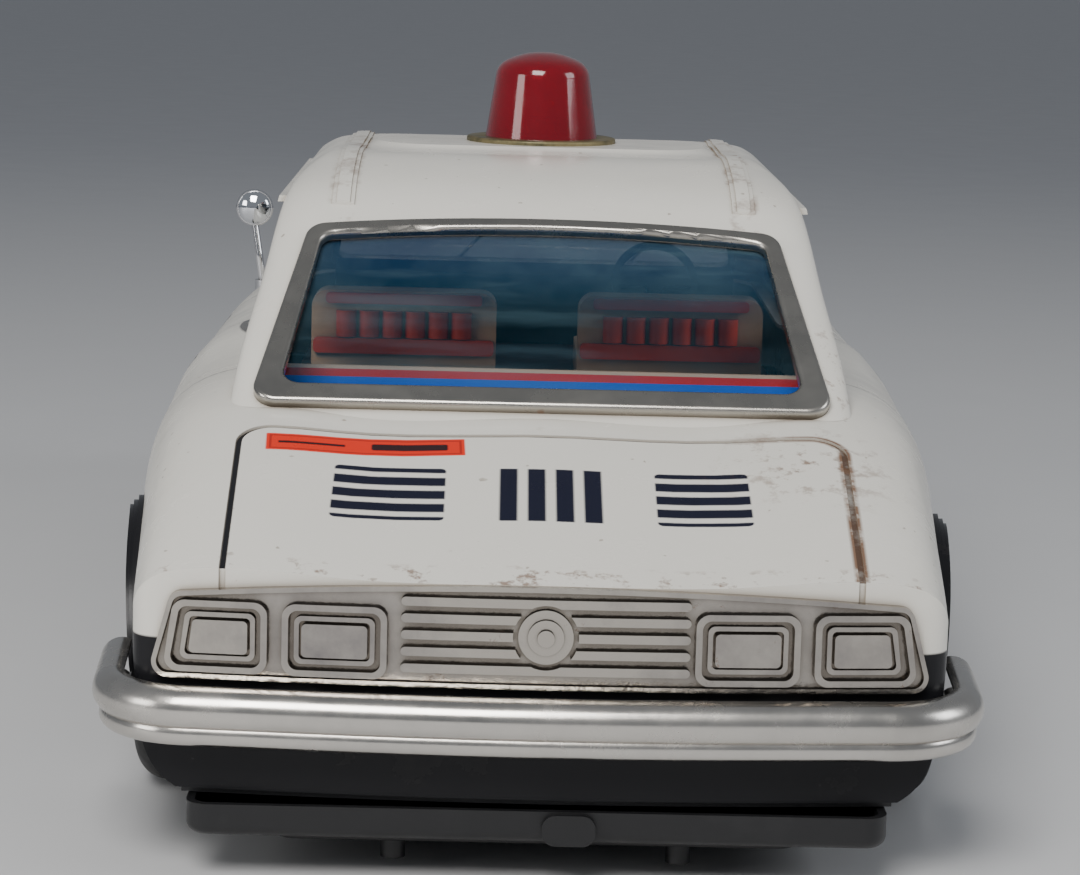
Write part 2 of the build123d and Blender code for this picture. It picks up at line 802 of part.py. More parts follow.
with BuildPart() as chassis_pan:
    with BuildSketch(Plane.XY.offset(floor_z)):
        Rectangle(big, big)
    extrude(amount=tin + pan_rim_height)
    add(pan_form, mode=Mode.INTERSECT)
    with BuildPart(mode=Mode.PRIVATE) as hollow:
        with BuildSketch(Plane.XY.offset(floor_z + tin)):
            Rectangle(big, big)
        extrude(amount=30)
        add(pan_hollow, mode=Mode.INTERSECT)
    add(hollow.part, mode=Mode.SUBTRACT)
    with BuildSketch(Plane.XY.offset(floor_z - pad_drop)):
        with Locations((0, place(sum(pad_t) / 2))):
            RectangleRounded(2 * pad_half, pad_t[1] - pad_t[0], 6)
    extrude(amount=pad_drop)
    with BuildSketch(Plane.XY.offset(floor_z - 5)):
        with Locations((0, place((tray_t0 + tray_t1) / 2))):
            Rectangle(2 * (tray_half + slack), tray_t1 - tray_t0 + 2 * slack)
        for side in (-1, 1):
            with Locations((side * (rear_well_x + 30), place(sum(rear_well_t) / 2))):
                Rectangle(60, rear_well_t[1] - rear_well_t[0])
            with Locations((side * (front_well_x + 30), place(front_axle_t))):
                Rectangle(60, 2 * front_well_reach)
        with Locations((sum(gear_slot) / 2, place(rear_axle_t))):
            Rectangle(gear_slot[1] - gear_slot[0], 30)
        with Locations((0, place(switch_t))):
            Rectangle(*switch_slot)
        with Locations((0, place(front_axle_t))):
            Circle(rivet_r)
        with Locations(*screw_spots):
            Circle(screw_r)
    extrude(amount=40, mode=Mode.SUBTRACT)
    with BuildSketch(Plane.XY.offset(floor_z + tin)):
        for side in (-1, 1):
            with Locations((side * (rear_well_x + 30), place(rear_axle_t))):
                Rectangle(60, 2 * (wheel_r + 2))
    extrude(amount=40, mode=Mode.SUBTRACT)

chassis_pan.part.label = "chassis_pan"
export_step(chassis_pan.part, "parts/chassis_pan.step")

block_x = screw_x - 4.5
block_foot_x = screw_x + 3.5
block_depth = 9.0
block_top = 30.0

with BuildPart() as body_blocks:
    for reach, low in ((block_foot_x, floor_z + tin), (half_width, floor_z + tin + pan_rim_height + slack)):
        with BuildSketch(Plane.XY.offset(low)):
            for x, y in screw_spots:
                side = 1 if x > 0 else -1
                with Locations((side * (block_x + reach) / 2, y)):
                    Rectangle(reach - block_x, block_depth)
        extrude(amount=block_top - low)
    add(body_inner, mode=Mode.INTERSECT)
    with BuildSketch(Plane.XY.offset(floor_z)):
        with Locations(*screw_spots):
            Circle(screw_r)
    extrude(amount=9, mode=Mode.SUBTRACT)

body_blocks.part.label = "body_mount_blocks"
export_step(body_blocks.part, "parts/body_mount_blocks.step")

with BuildPart() as chassis_screws:
    with BuildSketch(Plane.XY.offset(floor_z)):
        with Locations(*screw_spots):
            Circle(screw_r)
    extrude(amount=8.5)
    with BuildSketch(Plane.XY.offset(floor_z)) as heads:
        with Locations(*screw_spots):
            Circle(3.0)
    extrude(amount=-1.3)
    with BuildSketch(Plane.XY.offset(floor_z - 1.3)):
        with Locations(*screw_spots):
            Rectangle(4.4, 0.7)
            Rectangle(0.7, 4.4)
    extrude(amount=0.6, mode=Mode.SUBTRACT)

chassis_screws.part.label = "chassis_screws"
export_step(chassis_screws.part, "parts/chassis_screws.step")

# Battery tray, cells, contacts and the cover with its thumb tab

tray_mid_t = (tray_t0 + tray_t1) / 2
cell_z = cover_z + 1.7 + cell_r + 0.3

with BuildPart() as battery_tray:
    with BuildSketch(Plane.XY.offset(floor_z)):
        with Locations((0, place(tray_mid_t))):
            Rectangle(2 * tray_half, tray_t1 - tray_t0)
    extrude(amount=tray_top - floor_z)
    top_edges = battery_tray.faces().sort_by(Axis.Z)[-1].edges()
    fillet(top_edges.filter_by(Axis.X), 6)
    with BuildSketch(Plane.XY.offset(floor_z)):
        with Locations((0, place(tray_mid_t))):
            Rectangle(2 * (tray_half - tray_wall), tray_t1 - tray_t0 - 2 * tray_wall)
    extrude(amount=tray_top - floor_z - 4.0, mode=Mode.SUBTRACT)
    with BuildSketch(Plane.YZ.offset(-tray_half + tray_wall)):
        with Locations((place(tray_mid_t), cell_z)):
            Circle(cell_r + 0.6)
    extrude(amount=2 * (tray_half - tray_wall), mode=Mode.SUBTRACT)

battery_tray.part.label = "battery_tray"
export_step(battery_tray.part, "parts/battery_tray.step")

with BuildPart() as cells:
    for x0 in (-cell_length, 0):
        section = Plane(origin=(x0, place(tray_mid_t), cell_z), x_dir=(1, 0, 0), z_dir=(0, 0, 1))
        with BuildSketch(section):
            with BuildLine():
                Polyline(
                    (0, 0),
                    (0, cell_r - 0.8),
                    (0.8, cell_r),
                    (cell_length - 3.2, cell_r),
                    (cell_length - 2.4, cell_r - 0.8),
                    (cell_length - 2.4, 4.6),
                    (cell_length, 4.6),
                    (cell_length, 0),
                    close=True,
                )
            make_face()
        revolve(axis=Axis((0, place(tray_mid_t), cell_z), (1, 0, 0)))

cells.part.label = "battery_cells"
export_step(cells.part, "parts/battery_cells.step")

with BuildPart() as contacts:
    for side in (-1, 1):
        with BuildSketch(Plane.YZ.offset(side * (cell_length + contact_room - 0.6))):
            with Locations((place(tray_mid_t), cell_z)):
                RectangleRounded(15, 15, 2)
        extrude(amount=side * 0.6)
        with BuildSketch(Plane.YZ.offset(side * cell_length)):
            with Locations((place(tray_mid_t), cell_z)):
                Circle(4.2)
                Circle(2.6, mode=Mode.SUBTRACT)
        extrude(amount=side * (contact_room - 0.6))

contacts.part.label = "battery_contacts"
export_step(contacts.part, "parts/battery_contacts.step")

cover_half = tray_half + 0.4
cover_t = (-3.0, tray_t1 + 1.8)
cover_top = floor_z - slack
cover_sheet = 1.6
cover_corner = 4.5
panel_half = 51.0
tab_x = 6.0
tab_width = 10.2
tab_z = cover_z + 3.0
foot_x = 27.5
foot_t = 9.0
foot_r = 2.4
foot_z = 2.4
knuckle_r = 1.4  # the cover swings about two knuckles along its front edge
knuckle_x = (38.0, 54.0)
hinge_t = cover_t[1] - 0.5
hinge_z = cover_top - knuckle_r - 0.1

with BuildPart() as battery_cover:
    with BuildSketch(Plane.XY.offset(cover_z)) as cover_outline:
        with Locations((0, place(sum(cover_t) / 2))):
            RectangleRounded(2 * cover_half, cover_t[1] - cover_t[0], cover_corner)
    extrude(amount=cover_top - cover_z)
    fillet(battery_cover.faces().sort_by(Axis.Z)[0].edges(), 2.2)
    with BuildSketch(Plane.XY.offset(cover_z + cover_sheet)):
        with Locations((0, place(sum(cover_t) / 2))):
            RectangleRounded(
                2 * (cover_half - cover_sheet),
                cover_t[1] - cover_t[0] - 2 * cover_sheet,
                cover_corner - cover_sheet,
            )
    extrude(amount=20, mode=Mode.SUBTRACT)
    with BuildSketch(Plane.XY.offset(cover_panel_z)):
        with Locations((0, place(sum(cover_t) / 2 + 2))):
            RectangleRounded(2 * panel_half, cover_t[1] - cover_t[0] - 10, 5)
    extrude(amount=cover_z - cover_panel_z + 0.2)
    fillet(battery_cover.faces().sort_by(Axis.Z)[0].edges(), 1.2)
    with BuildSketch(Plane.XY.offset(foot_z)):
        with Locations((-foot_x, place(foot_t)), (foot_x, place(foot_t))):
            Circle(foot_r)
    extrude(amount=cover_panel_z - foot_z + 0.5)
    with BuildSketch(Plane.XZ.offset(-place(cover_t[0]))) as tab_front:
        with Locations((tab_x, tab_z)):
            RectangleRounded(tab_width, 6.0, 2.6)
    extrude(amount=1.6)
    with BuildSketch(Plane.XZ.offset(-place(cover_t[0]) - 2.5)):
        with Locations((tab_x, tab_z)):
            RectangleRounded(tab_width, 6.0, 2.6)
    extrude(amount=2.6)

    for side in (-1, 1):
        with BuildSketch(Plane.YZ.offset(side * knuckle_x[0])):
            with Locations((place(hinge_t), hinge_z)):
                Circle(knuckle_r)
        extrude(amount=side * (knuckle_x[1] - knuckle_x[0]))

battery_cover.part.label = "battery_cover"
export_step(battery_cover.part, "parts/battery_cover.step")

# Drive: motor, compound gear and axle gear between two plates

pitch = (pinion_teeth + gear_teeth) * tooth_module / 2
stage_1_angle = 40.0
stage_2_angle = 20.0
idler_y = place(rear_axle_t) + pitch * cos(radians(stage_1_angle))
idler_z = axle_z + pitch * sin(radians(stage_1_angle))
motor_y = idler_y + pitch * cos(radians(stage_2_angle))
motor_z = idler_z + pitch * sin(radians(stage_2_angle))
idler_pin_r = 1.25
motor_shaft_r = 1.0
addendum = 0.8 * tooth_module
dedendum = 1.1 * tooth_module
backlash = 0.16


def gear_outline(teeth, turn):
    """An involute gear outline about the local origin, one tooth space centred at turn degrees."""
    pitch_r = teeth * tooth_module / 2
    base_r = pitch_r * cos(radians(pressure_angle))
    root_r = pitch_r - dedendum
    tip_r = pitch_r + addendum
    inv_pitch = tan(radians(pressure_angle)) - radians(pressure_angle)
    half_tooth = pi / (2 * teeth) - backlash / (2 * pitch_r)
    radii = [base_r + (tip_r - base_r) * k / 4 for k in range(5)]
    flank = [(root_r, half_tooth + inv_pitch)]
    for r in radii:
        roll = sqrt(max((r / base_r) ** 2 - 1, 0))
        flank.append((r, half_tooth + inv_pitch - (roll - atan2(roll, 1))))
    points = []
    for tooth in range(teeth):
        centre = 2 * pi * (tooth + 0.5) / teeth + radians(turn)
        points += [(r * cos(centre - a), r * sin(centre - a)) for r, a in flank]
        points += [(r * cos(centre + a), r * sin(centre + a)) for r, a in reversed(flank)]
    with BuildSketch(mode=Mode.PRIVATE) as shape:
        with BuildLine():
            Polyline(*points, close=True)
        make_face()
    return shape.sketch


def gear_plane(x, y, z):
    """Local x is the car's +Y and local y its +Z, so the sketch is seen from the right."""
    return Plane(origin=(x, y, z), x_dir=(0, 1, 0), z_dir=(1, 0, 0))


# A tooth space of the followed gear and a tooth of its pinion lie on each line of centres.
half_pinion_pitch = 180.0 / pinion_teeth
axle_gear_turn = stage_1_angle
idler_pinion_turn = stage_1_angle + 180.0 + half_pinion_pitch
idler_gear_turn = stage_2_angle
motor_pinion_turn = stage_2_angle + 180.0 + half_pinion_pitch
motor_layer = (11.0, 14.0)
axle_layer = (16.0, 19.5)

with BuildPart() as axle_gear:
    with BuildSketch(gear_plane(axle_layer[0], axle_ys[0], axle_z)):
        add(gear_outline(gear_teeth, axle_gear_turn))
        Circle(axle_r, mode=Mode.SUBTRACT)
    extrude(amount=axle_layer[1] - axle_layer[0])
    with BuildSketch(gear_plane(axle_layer[1], axle_ys[0], axle_z)):
        Circle(4.5)
        Circle(axle_r, mode=Mode.SUBTRACT)
    extrude(amount=3.5)

axle_gear.part.label = "axle_gear"
export_step(axle_gear.part, "parts/axle_gear.step")

with BuildPart() as compound_gear:
    with BuildSketch(gear_plane(motor_layer[0], idler_y, idler_z)):
        add(gear_outline(gear_teeth, idler_gear_turn))
        Circle(idler_pin_r + running, mode=Mode.SUBTRACT)
    extrude(amount=motor_layer[1] - motor_layer[0])
    with BuildSketch(gear_plane(motor_layer[1], idler_y, idler_z)):
        add(gear_outline(pinion_teeth, idler_pinion_turn))
        Circle(idler_pin_r + running, mode=Mode.SUBTRACT)
    extrude(amount=axle_layer[1] - motor_layer[1] + 1.0)

compound_gear.part.label = "compound_gear"
export_step(compound_gear.part, "parts/compound_gear.step")

with BuildPart() as gear_pin:
    with BuildSketch(gear_plane(plate_xs[0] - 0.8, idler_y, idler_z)):
        Circle(idler_pin_r)
    extrude(amount=plate_xs[1] + plate_sheet + 0.8 - plate_xs[0] + 0.8)

gear_pin.part.label = "gear_pin"
export_step(gear_pin.part, "parts/gear_pin.step")

with BuildPart() as motor_pinion:
    with BuildSketch(gear_plane(motor_layer[0] - 0.5, motor_y, motor_z)):
        add(gear_outline(pinion_teeth, motor_pinion_turn))
        Circle(motor_shaft_r, mode=Mode.SUBTRACT)
    extrude(amount=4.0)

motor_pinion.part.label = "motor_pinion"
export_step(motor_pinion.part, "parts/motor_pinion.step")

can_r = 12.0
can_length = 30.0
can_wall = 1.0
can_x1 = plate_xs[0]
can_x0 = can_x1 - can_length
motor_ends = (can_x0 - 1.5, motor_layer[0] + 4.2)

with BuildPart() as motor_can:
    with BuildSketch(gear_plane(can_x0, motor_y, motor_z)):
        Circle(can_r)
    extrude(amount=can_length)
    with BuildSketch(gear_plane(can_x0 + can_wall, motor_y, motor_z)):
        Circle(can_r - can_wall)
    extrude(amount=can_length - 2 * can_wall, mode=Mode.SUBTRACT)
    with BuildSketch(gear_plane(can_x0 - 5, motor_y, motor_z)):
        Circle(motor_shaft_r + running)
    extrude(amount=can_length + 10, mode=Mode.SUBTRACT)

motor_can.part.label = "motor_can"
export_step(motor_can.part, "parts/motor_can.step")

with BuildPart() as motor_armature:
    with BuildSketch(gear_plane(can_x0 + 8, motor_y, motor_z)):
        Circle(8.5)
        with PolarLocations(8.2, 3, 30):
            Circle(1.4, mode=Mode.SUBTRACT)
    extrude(amount=13)
    with BuildSketch(gear_plane(can_x0 + 3, motor_y, motor_z)):
        Circle(3.0)
    extrude(amount=5)
    with BuildSketch(gear_plane(can_x0 - 5, motor_y, motor_z)):
        Circle(motor_shaft_r)
    extrude(amount=60, mode=Mode.SUBTRACT)

motor_armature.part.label = "motor_armature"
export_step(motor_armature.part, "parts/motor_armature.step")

with BuildPart() as motor_shaft:
    with BuildSketch(gear_plane(motor_ends[0], motor_y, motor_z)):
        Circle(motor_shaft_r)
    extrude(amount=motor_ends[1] - motor_ends[0])

motor_shaft.part.label = "motor_shaft"
export_step(motor_shaft.part, "parts/motor_shaft.step")

plate_t = (place(rear_axle_t) - 8, motor_y + 15)
plate_top = motor_z + 15
foot_depth = 6.0

for name, x, outward in (("gearbox_plate_left", plate_xs[0], -1), ("gearbox_plate_right", plate_xs[1], 1)):
    with BuildPart() as plate:
        with BuildSketch(gear_plane(x, 0, 0)):
            with BuildLine():
                Polyline(
                    (plate_t[0], floor_z + tin),
                    (plate_t[1], floor_z + tin),
                    (plate_t[1], plate_top),
                    (plate_t[1] - 24, plate_top),
                    (plate_t[0], axle_z + 12),
                    close=True,
                )
            make_face()
            with Locations((axle_ys[0], axle_z)):
                Circle(axle_r + running, mode=Mode.SUBTRACT)
            with Locations((idler_y, idler_z)):
                Circle(idler_pin_r, mode=Mode.SUBTRACT)
            with Locations((motor_y, motor_z)):
                Circle(motor_shaft_r + 0.6, mode=Mode.SUBTRACT)
        extrude(amount=plate_sheet)
        foot_edge = x if outward < 0 else x + plate_sheet
        with BuildSketch(Plane.XY.offset(floor_z + tin)):
            with Locations((foot_edge + outward * foot_depth / 2, plate_t[1] - 10)):
                Rectangle(foot_depth, 14)
        extrude(amount=plate_sheet)
    plate.part.label = name
    export_step(plate.part, f"parts/{name}.step")

spacer_spots = [
    (plate_t[1] - 4, plate_top - 4),
    (plate_t[1] - 4, floor_z + 8),
    (plate_t[1] - 21, plate_top - 3),
]
with BuildPart() as spacers:
    with BuildSketch(gear_plane(plate_xs[0] + plate_sheet, 0, 0)):
        with Locations(*spacer_spots):
            Circle(1.6)
    extrude(amount=plate_xs[1] - plate_xs[0] - plate_sheet)

spacers.part.label = "gearbox_spacers"
export_step(spacers.part, "parts/gearbox_spacers.step")

hanger_x = wheel_back - 10.5
with BuildPart() as hangers:
    for side in (-1, 1):
        with BuildSketch(Plane.YZ.offset(side * hanger_x)):
            with BuildLine():
                Polyline(
                    (axle_ys[0] - 9, floor_z + tin),
                    (axle_ys[0] + 9, floor_z + tin),
                    (axle_ys[0] + 5, axle_z + 5),
                    (axle_ys[0] - 5, axle_z + 5),
                    close=True,
                )
            make_face()
            with Locations((axle_ys[0], axle_z)):
                Circle(axle_r + running, mode=Mode.SUBTRACT)
        extrude(amount=-side * 1.2)
        with BuildSketch(Plane.XY.offset(floor_z + tin)):
            with Locations((side * (hanger_x - 5), axle_ys[0])):
                Rectangle(10, 18)
        extrude(amount=1.2)

hangers.part.label = "rear_axle_hangers"
export_step(hangers.part, "parts/rear_axle_hangers.step")

# Front axle bracket, turning on a rivet in the pan

bracket_half = wheel_back - 14.5
bracket_sheet = 1.2
bracket_z = floor_z + tin + 1.5
bracket_depth = 14.0

with BuildPart() as front_bracket:
    with BuildSketch(Plane.XY.offset(bracket_z)):
        with Locations((0, axle_ys[1])):
            Rectangle(2 * bracket_half, bracket_depth)
            Circle(rivet_r + running, mode=Mode.SUBTRACT)
    extrude(amount=bracket_sheet)
    for side in (-1, 1):
        with BuildSketch(Plane.YZ.offset(side * bracket_half)):
            with BuildLine():
                Polyline(
                    (axle_ys[1] - bracket_depth / 2, bracket_z),
                    (axle_ys[1] + bracket_depth / 2, bracket_z),
                    (axle_ys[1] + 4.5, axle_z + 5),
                    (axle_ys[1] - 4.5, axle_z + 5),
                    close=True,
                )
            make_face()
            with Locations((axle_ys[1], axle_z)):
                Circle(axle_r + running, mode=Mode.SUBTRACT)
        extrude(amount=-side * bracket_sheet)

front_bracket.part.label = "front_axle_bracket"
export_step(front_bracket.part, "parts/front_axle_bracket.step")

with BuildPart() as steering_rivet:
    with BuildSketch(Plane.XY.offset(floor_z - 0.8)):
        with Locations((0, axle_ys[1])):
            Circle(4.5)
    extrude(amount=0.8)
    with BuildSketch(Plane.XY.offset(floor_z)):
        with Locations((0, axle_ys[1])):
            Circle(rivet_r)
    extrude(amount=bracket_z + bracket_sheet + 0.2 - floor_z)
    with BuildSketch(Plane.XY.offset(floor_z + tin)):
        with Locations((0, axle_ys[1])):
            Circle(6.0)
    extrude(amount=bracket_z - floor_z - tin - 0.1)
    with BuildSketch(Plane.XY.offset(bracket_z + bracket_sheet + 0.2)):
        with Locations((0, axle_ys[1])):
            Circle(4.5)
    extrude(amount=1.0)

steering_rivet.part.label = "steering_rivet"
export_step(steering_rivet.part, "parts/steering_rivet.step")

# On-off slide switch under the pan

switch_travel = 4.0
knob_length = switch_slot[0] - switch_travel - 1.0
knob_x = -switch_travel / 2

with BuildPart() as switch_knob:
    with BuildSketch(Plane.XY.offset(floor_z - 2.2)):
        with Locations((knob_x, place(switch_t))):
            Rectangle(knob_length, switch_slot[1] - 0.6)
    extrude(amount=2.2 + tin + 0.4)
    with BuildSketch(Plane.XY.offset(floor_z + tin + 0.4)):
        with Locations((knob_x, place(switch_t))):
            Rectangle(knob_length + 6, 9)
    extrude(amount=1.4)

switch_knob.part.label = "switch_knob"
export_step(switch_knob.part, "parts/switch_knob.step")

switch_room = floor_z + tin + 0.4 + 1.4 + slack
with BuildPart() as switch_box:
    with BuildSketch(Plane.XY.offset(floor_z + tin)):
        with Locations((0, place(switch_t))):
            Rectangle(24, 15)
            Rectangle(21, 10, mode=Mode.SUBTRACT)
    extrude(amount=switch_room - floor_z - tin)
    with BuildSketch(Plane.XY.offset(switch_room)):
        with Locations((0, place(switch_t))):
            Rectangle(24, 15)
    extrude(amount=5)

switch_box.part.label = "switch_box"
export_step(switch_box.part, "parts/switch_box.step")

# Cabin interior: floor, parcel shelf, two seats, dashboard and steering wheel

inner_floor_z = 66.0
inner_floor_t = (98.0, screen_foot_t - 10.0)
shelf_z = 78.6
shelf_t = (80.0, 106.0)
shelf_half = foot_half - 8.7
lip_height = 5.2
seat_t = body_length / 2 - 17.0
seat_half = 22.5
seat_x = foot_half - 33.2
seat_foot_z = 75.6
seat_head_z = 91.0
roll_count = 6
roll_pitch = 5.6
roll_r = 2.5
roll_z = (79.8, 86.2)

with BuildPart() as cabin_floor:
    with BuildSketch(Plane.XY.offset(inner_floor_z)):
        with Locations((0, place(sum(inner_floor_t) / 2))):
            RectangleRounded(2 * (foot_half - 5.7), inner_floor_t[1] - inner_floor_t[0], 6)
    extrude(amount=1.0)

cabin_floor.part.label = "cabin_floor"
export_step(cabin_floor.part, "parts/cabin_floor.step")

with BuildPart() as parcel_shelf:
    with BuildSketch(Plane.XY.offset(shelf_z)):
        with Locations((0, place(sum(shelf_t) / 2))):
            Rectangle(2 * shelf_half, shelf_t[1] - shelf_t[0])
    extrude(amount=tin)
    with BuildSketch(Plane.XY.offset(inner_floor_z + 1.0)):
        with Locations((0, place(shelf_t[1]) + 0.6)):
            Rectangle(2 * shelf_half, 1.2)
    extrude(amount=shelf_z + lip_height - inner_floor_z - 1.0)

parcel_shelf.part.label = "parcel_shelf"
export_step(parcel_shelf.part, "parts/parcel_shelf.step")

seat_xs = (-seat_x, seat_x)

with BuildPart() as seats:
    with BuildSketch(Plane.XZ.offset(-place(seat_t))) as seat_faces:
        with Locations(*[(x, (inner_floor_z + 1 + seat_head_z) / 2) for x in seat_xs]):
            Rectangle(2 * seat_half, seat_head_z - inner_floor_z - 1)
        fillet(seat_faces.vertices().group_by(Axis.Y)[-1], 4)
    extrude(amount=-9)
    with BuildSketch(Plane.XY.offset(inner_floor_z + 1)):
        with Locations(*[(x, place(seat_t + 28)) for x in seat_xs]):
            RectangleRounded(2 * seat_half, 42, 4)
    extrude(amount=8)

seats.part.label = "seats"
export_step(seats.part, "parts/seats.step")

with BuildPart() as seat_pads:
    with BuildSketch(Plane.XY.offset(roll_z[0])):
        for centre_x in seat_xs:
            for k in range(roll_count):
                x = centre_x + (k - (roll_count - 1) / 2) * roll_pitch
                with Locations((x, place(seat_t))):
                    Circle(roll_r)
        with Locations((0, place(seat_t) + 5)):
            Rectangle(big, 10, mode=Mode.SUBTRACT)
    extrude(amount=roll_z[1] - roll_z[0])
    with BuildSketch(Plane.XZ.offset(-place(seat_t))):
        with Locations(*[(x, seat_foot_z + 2.0) for x in seat_xs]):
            RectangleRounded(2 * seat_half - 1, 3.8, 1.2)
        with Locations(*[(x, seat_head_z - 1.8) for x in seat_xs]):
            RectangleRounded(2 * seat_half - 7, 2.6, 1.0)
    extrude(amount=1.6)

seat_pads.part.label = "seat_pads"
export_step(seat_pads.part, "parts/seat_pads.step")

dash_t = screen_foot_t - 32.0
dash_half = foot_half - 11.7
with BuildPart() as dashboard:
    with BuildSketch(Plane.YZ.offset(-dash_half)):
        with BuildLine():
            Polyline(
                (place(dash_t), inner_floor_z + 1),
                (place(dash_t), 86.0),
                (place(dash_t + 6), 88.5),
                (place(dash_t + 12), 86.0),
                (place(dash_t + 12), inner_floor_z + 1),
                close=True,
            )
        make_face()
    extrude(amount=2 * dash_half)

dashboard.part.label = "dashboard"
export_step(dashboard.part, "parts/dashboard.step")

steer_x = seat_x - 0.5
steer_tilt = 25.0
wheel_plane = Plane(
    origin=(steer_x, place(dash_t - 14), 86.0),
    x_dir=(1, 0, 0),
    z_dir=(0, -cos(radians(steer_tilt)), sin(radians(steer_tilt))),
)

with BuildPart() as steering_wheel:
    with BuildSketch(wheel_plane.offset(-1)):
        Circle(11.5)
        Circle(9.7, mode=Mode.SUBTRACT)
        Rectangle(20.5, 2.4)
        Circle(2.8)
    extrude(amount=2)
    with BuildSketch(wheel_plane.offset(-1)):
        Circle(1.6)
    extrude(amount=-13)
    add(dashboard.part, mode=Mode.SUBTRACT)

steering_wheel.part.label = "steering_wheel"
export_step(steering_wheel.part, "parts/steering_wheel.step")

# Roof lamp: flange, red dome, bulb and holder

flange_r = lamp_r + 4.6
flange_sheet = 1.1
dome_wall = 1.0
dome_top_r = lamp_r - 2.2
lamp_y = place(lamp_t)
dome_z = roof_z + flange_sheet
lamp_section = Plane(origin=(0, lamp_y, 0), x_dir=(1, 0, 0), z_dir=(0, -1, 0))
lamp_axis = Axis((0, lamp_y, 0), (0, 0, 1))

with BuildPart() as lamp_flange:
    with BuildSketch(Plane.XY.offset(roof_z)):
        with Locations((0, lamp_y)):
            Circle(flange_r)
    extrude(amount=flange_sheet)
    fillet(lamp_flange.faces().sort_by(Axis.Z)[-1].edges(), 0.5)

lamp_flange.part.label = "lamp_flange"
export_step(lamp_flange.part, "parts/lamp_flange.step")


def dome_profile(inset, foot):
    with BuildSketch(mode=Mode.PRIVATE) as shape:
        with BuildLine():
            head = dome_z + lamp_height - inset
            shoulder = dome_top_r - inset
            Polyline((shoulder, head - 6.0), (lamp_r - inset, foot), (0, foot), (0, head))
            Spline((0, head), (shoulder * 0.62, head - 1.3), (shoulder, head - 6.0), tangents=[(1, 0), (0.1, -1)])
        make_face()
    return shape.sketch


with BuildPart() as lamp_dome:
    with BuildSketch(lamp_section):
        add(dome_profile(0, dome_z))
        add(dome_profile(dome_wall, dome_z - 1), mode=Mode.SUBTRACT)
    revolve(axis=lamp_axis)

lamp_dome.part.label = "lamp_dome"
export_step(lamp_dome.part, "parts/lamp_dome.step")

holder_height = 5.0
with BuildPart() as lamp_holder:
    with BuildSketch(Plane.XY.offset(dome_z)):
        with Locations((0, lamp_y)):
            Circle(4.2)
    extrude(amount=holder_height)
    fillet(lamp_holder.faces().sort_by(Axis.Z)[-1].edges(), 0.6)

lamp_holder.part.label = "lamp_holder"
export_step(lamp_holder.part, "parts/lamp_holder.step")

bulb_z = dome_z + holder_height
with BuildPart() as lamp_bulb:
    with BuildSketch(lamp_section):
        with BuildLine():
            Polyline((0, bulb_z + 9.5), (0, bulb_z), (2.6, bulb_z), (2.6, bulb_z + 1.6))
            Spline((2.6, bulb_z + 1.6), (3.7, bulb_z + 5.0), (0, bulb_z + 9.5), tangents=[(0.2, 1), (-1, 0)])
        make_face()
    revolve(axis=lamp_axis)

lamp_bulb.part.label = "lamp_bulb"
export_step(lamp_bulb.part, "parts/lamp_bulb.step")

# Fender mirror on the left wing: a bent stalk and a round head with its glass

mirror_t = body_length - 80.0
mirror_foot = (-(half_width - 11.3), 76.0)
mirror_head = (-(half_width - 8.3), 97.6)
mirror_r = 5.3
stalk_r = 1.1
mirror_bulge = 2.2  # how far the glass stands out of its rim

foot_point = (mirror_foot[0], place(mirror_t), mirror_foot[1] - 3)
knee_point = (mirror_foot[0] - 1.5, place(mirror_t), 84.0)
neck_point = (mirror_head[0], place(mirror_t) + 1.5, mirror_head[1] - mirror_r + 0.6)
head_plane = Plane(origin=(mirror_head[0], place(mirror_t), mirror_head[1]), x_dir=(1, 0, 0), z_dir=(0, 0, 1))

with BuildPart() as mirror_arm:
    with BuildLine() as stalk_line:
        Polyline(foot_point, knee_point, neck_point)
        fillet(stalk_line.vertices().sort_by(Axis.Z)[1], 6)
    with BuildSketch(Plane(origin=stalk_line.line @ 0, z_dir=stalk_line.line % 0)):
        Circle(stalk_r)
    sweep()
    with BuildSketch(head_plane):
        with BuildLine():
            Polyline((0, 0.0), (mirror_r - 0.4, 0.0), (mirror_r, 0.6))
            Spline((mirror_r, 0.6), (mirror_r * 0.74, 4.0), (0, 5.4), tangents=[(0, 1), (-1, 0)])
            Line((0, 5.4), (0, 0))
        make_face()
    revolve(axis=Axis(head_plane.origin, (0, 1, 0)))
    with BuildSketch(Plane.XY.offset(mirror_foot[1] - 2)):
        with Locations((foot_point[0], foot_point[1])):
            Circle(2.6)
    extrude(amount=3.0)
    add(body_outer, mode=Mode.SUBTRACT)

mirror_arm.part.label = "fender_mirror"
export_step(mirror_arm.part, "parts/fender_mirror.step")

# The glass is a shallow dome, as on a round mirror of this kind
with BuildPart() as mirror_glass:
    with BuildSketch(head_plane):
        with BuildLine():
            Line((0, 0), (mirror_r - 0.6, 0))
            Spline(
                (mirror_r - 0.6, 0),
                (mirror_r * 0.55, -mirror_bulge * 0.72),
                (0, -mirror_bulge),
                tangents=[(-0.3, -1), (-1, 0)],
            )
            Line((0, -mirror_bulge), (0, 0))
        make_face()
    revolve(axis=Axis(head_plane.origin, (0, 1, 0)))

mirror_glass.part.label = "mirror_glass"
export_step(mirror_glass.part, "parts/mirror_glass.step")
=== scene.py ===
import math

import bmesh
import bpy
from mathutils import Matrix, Vector


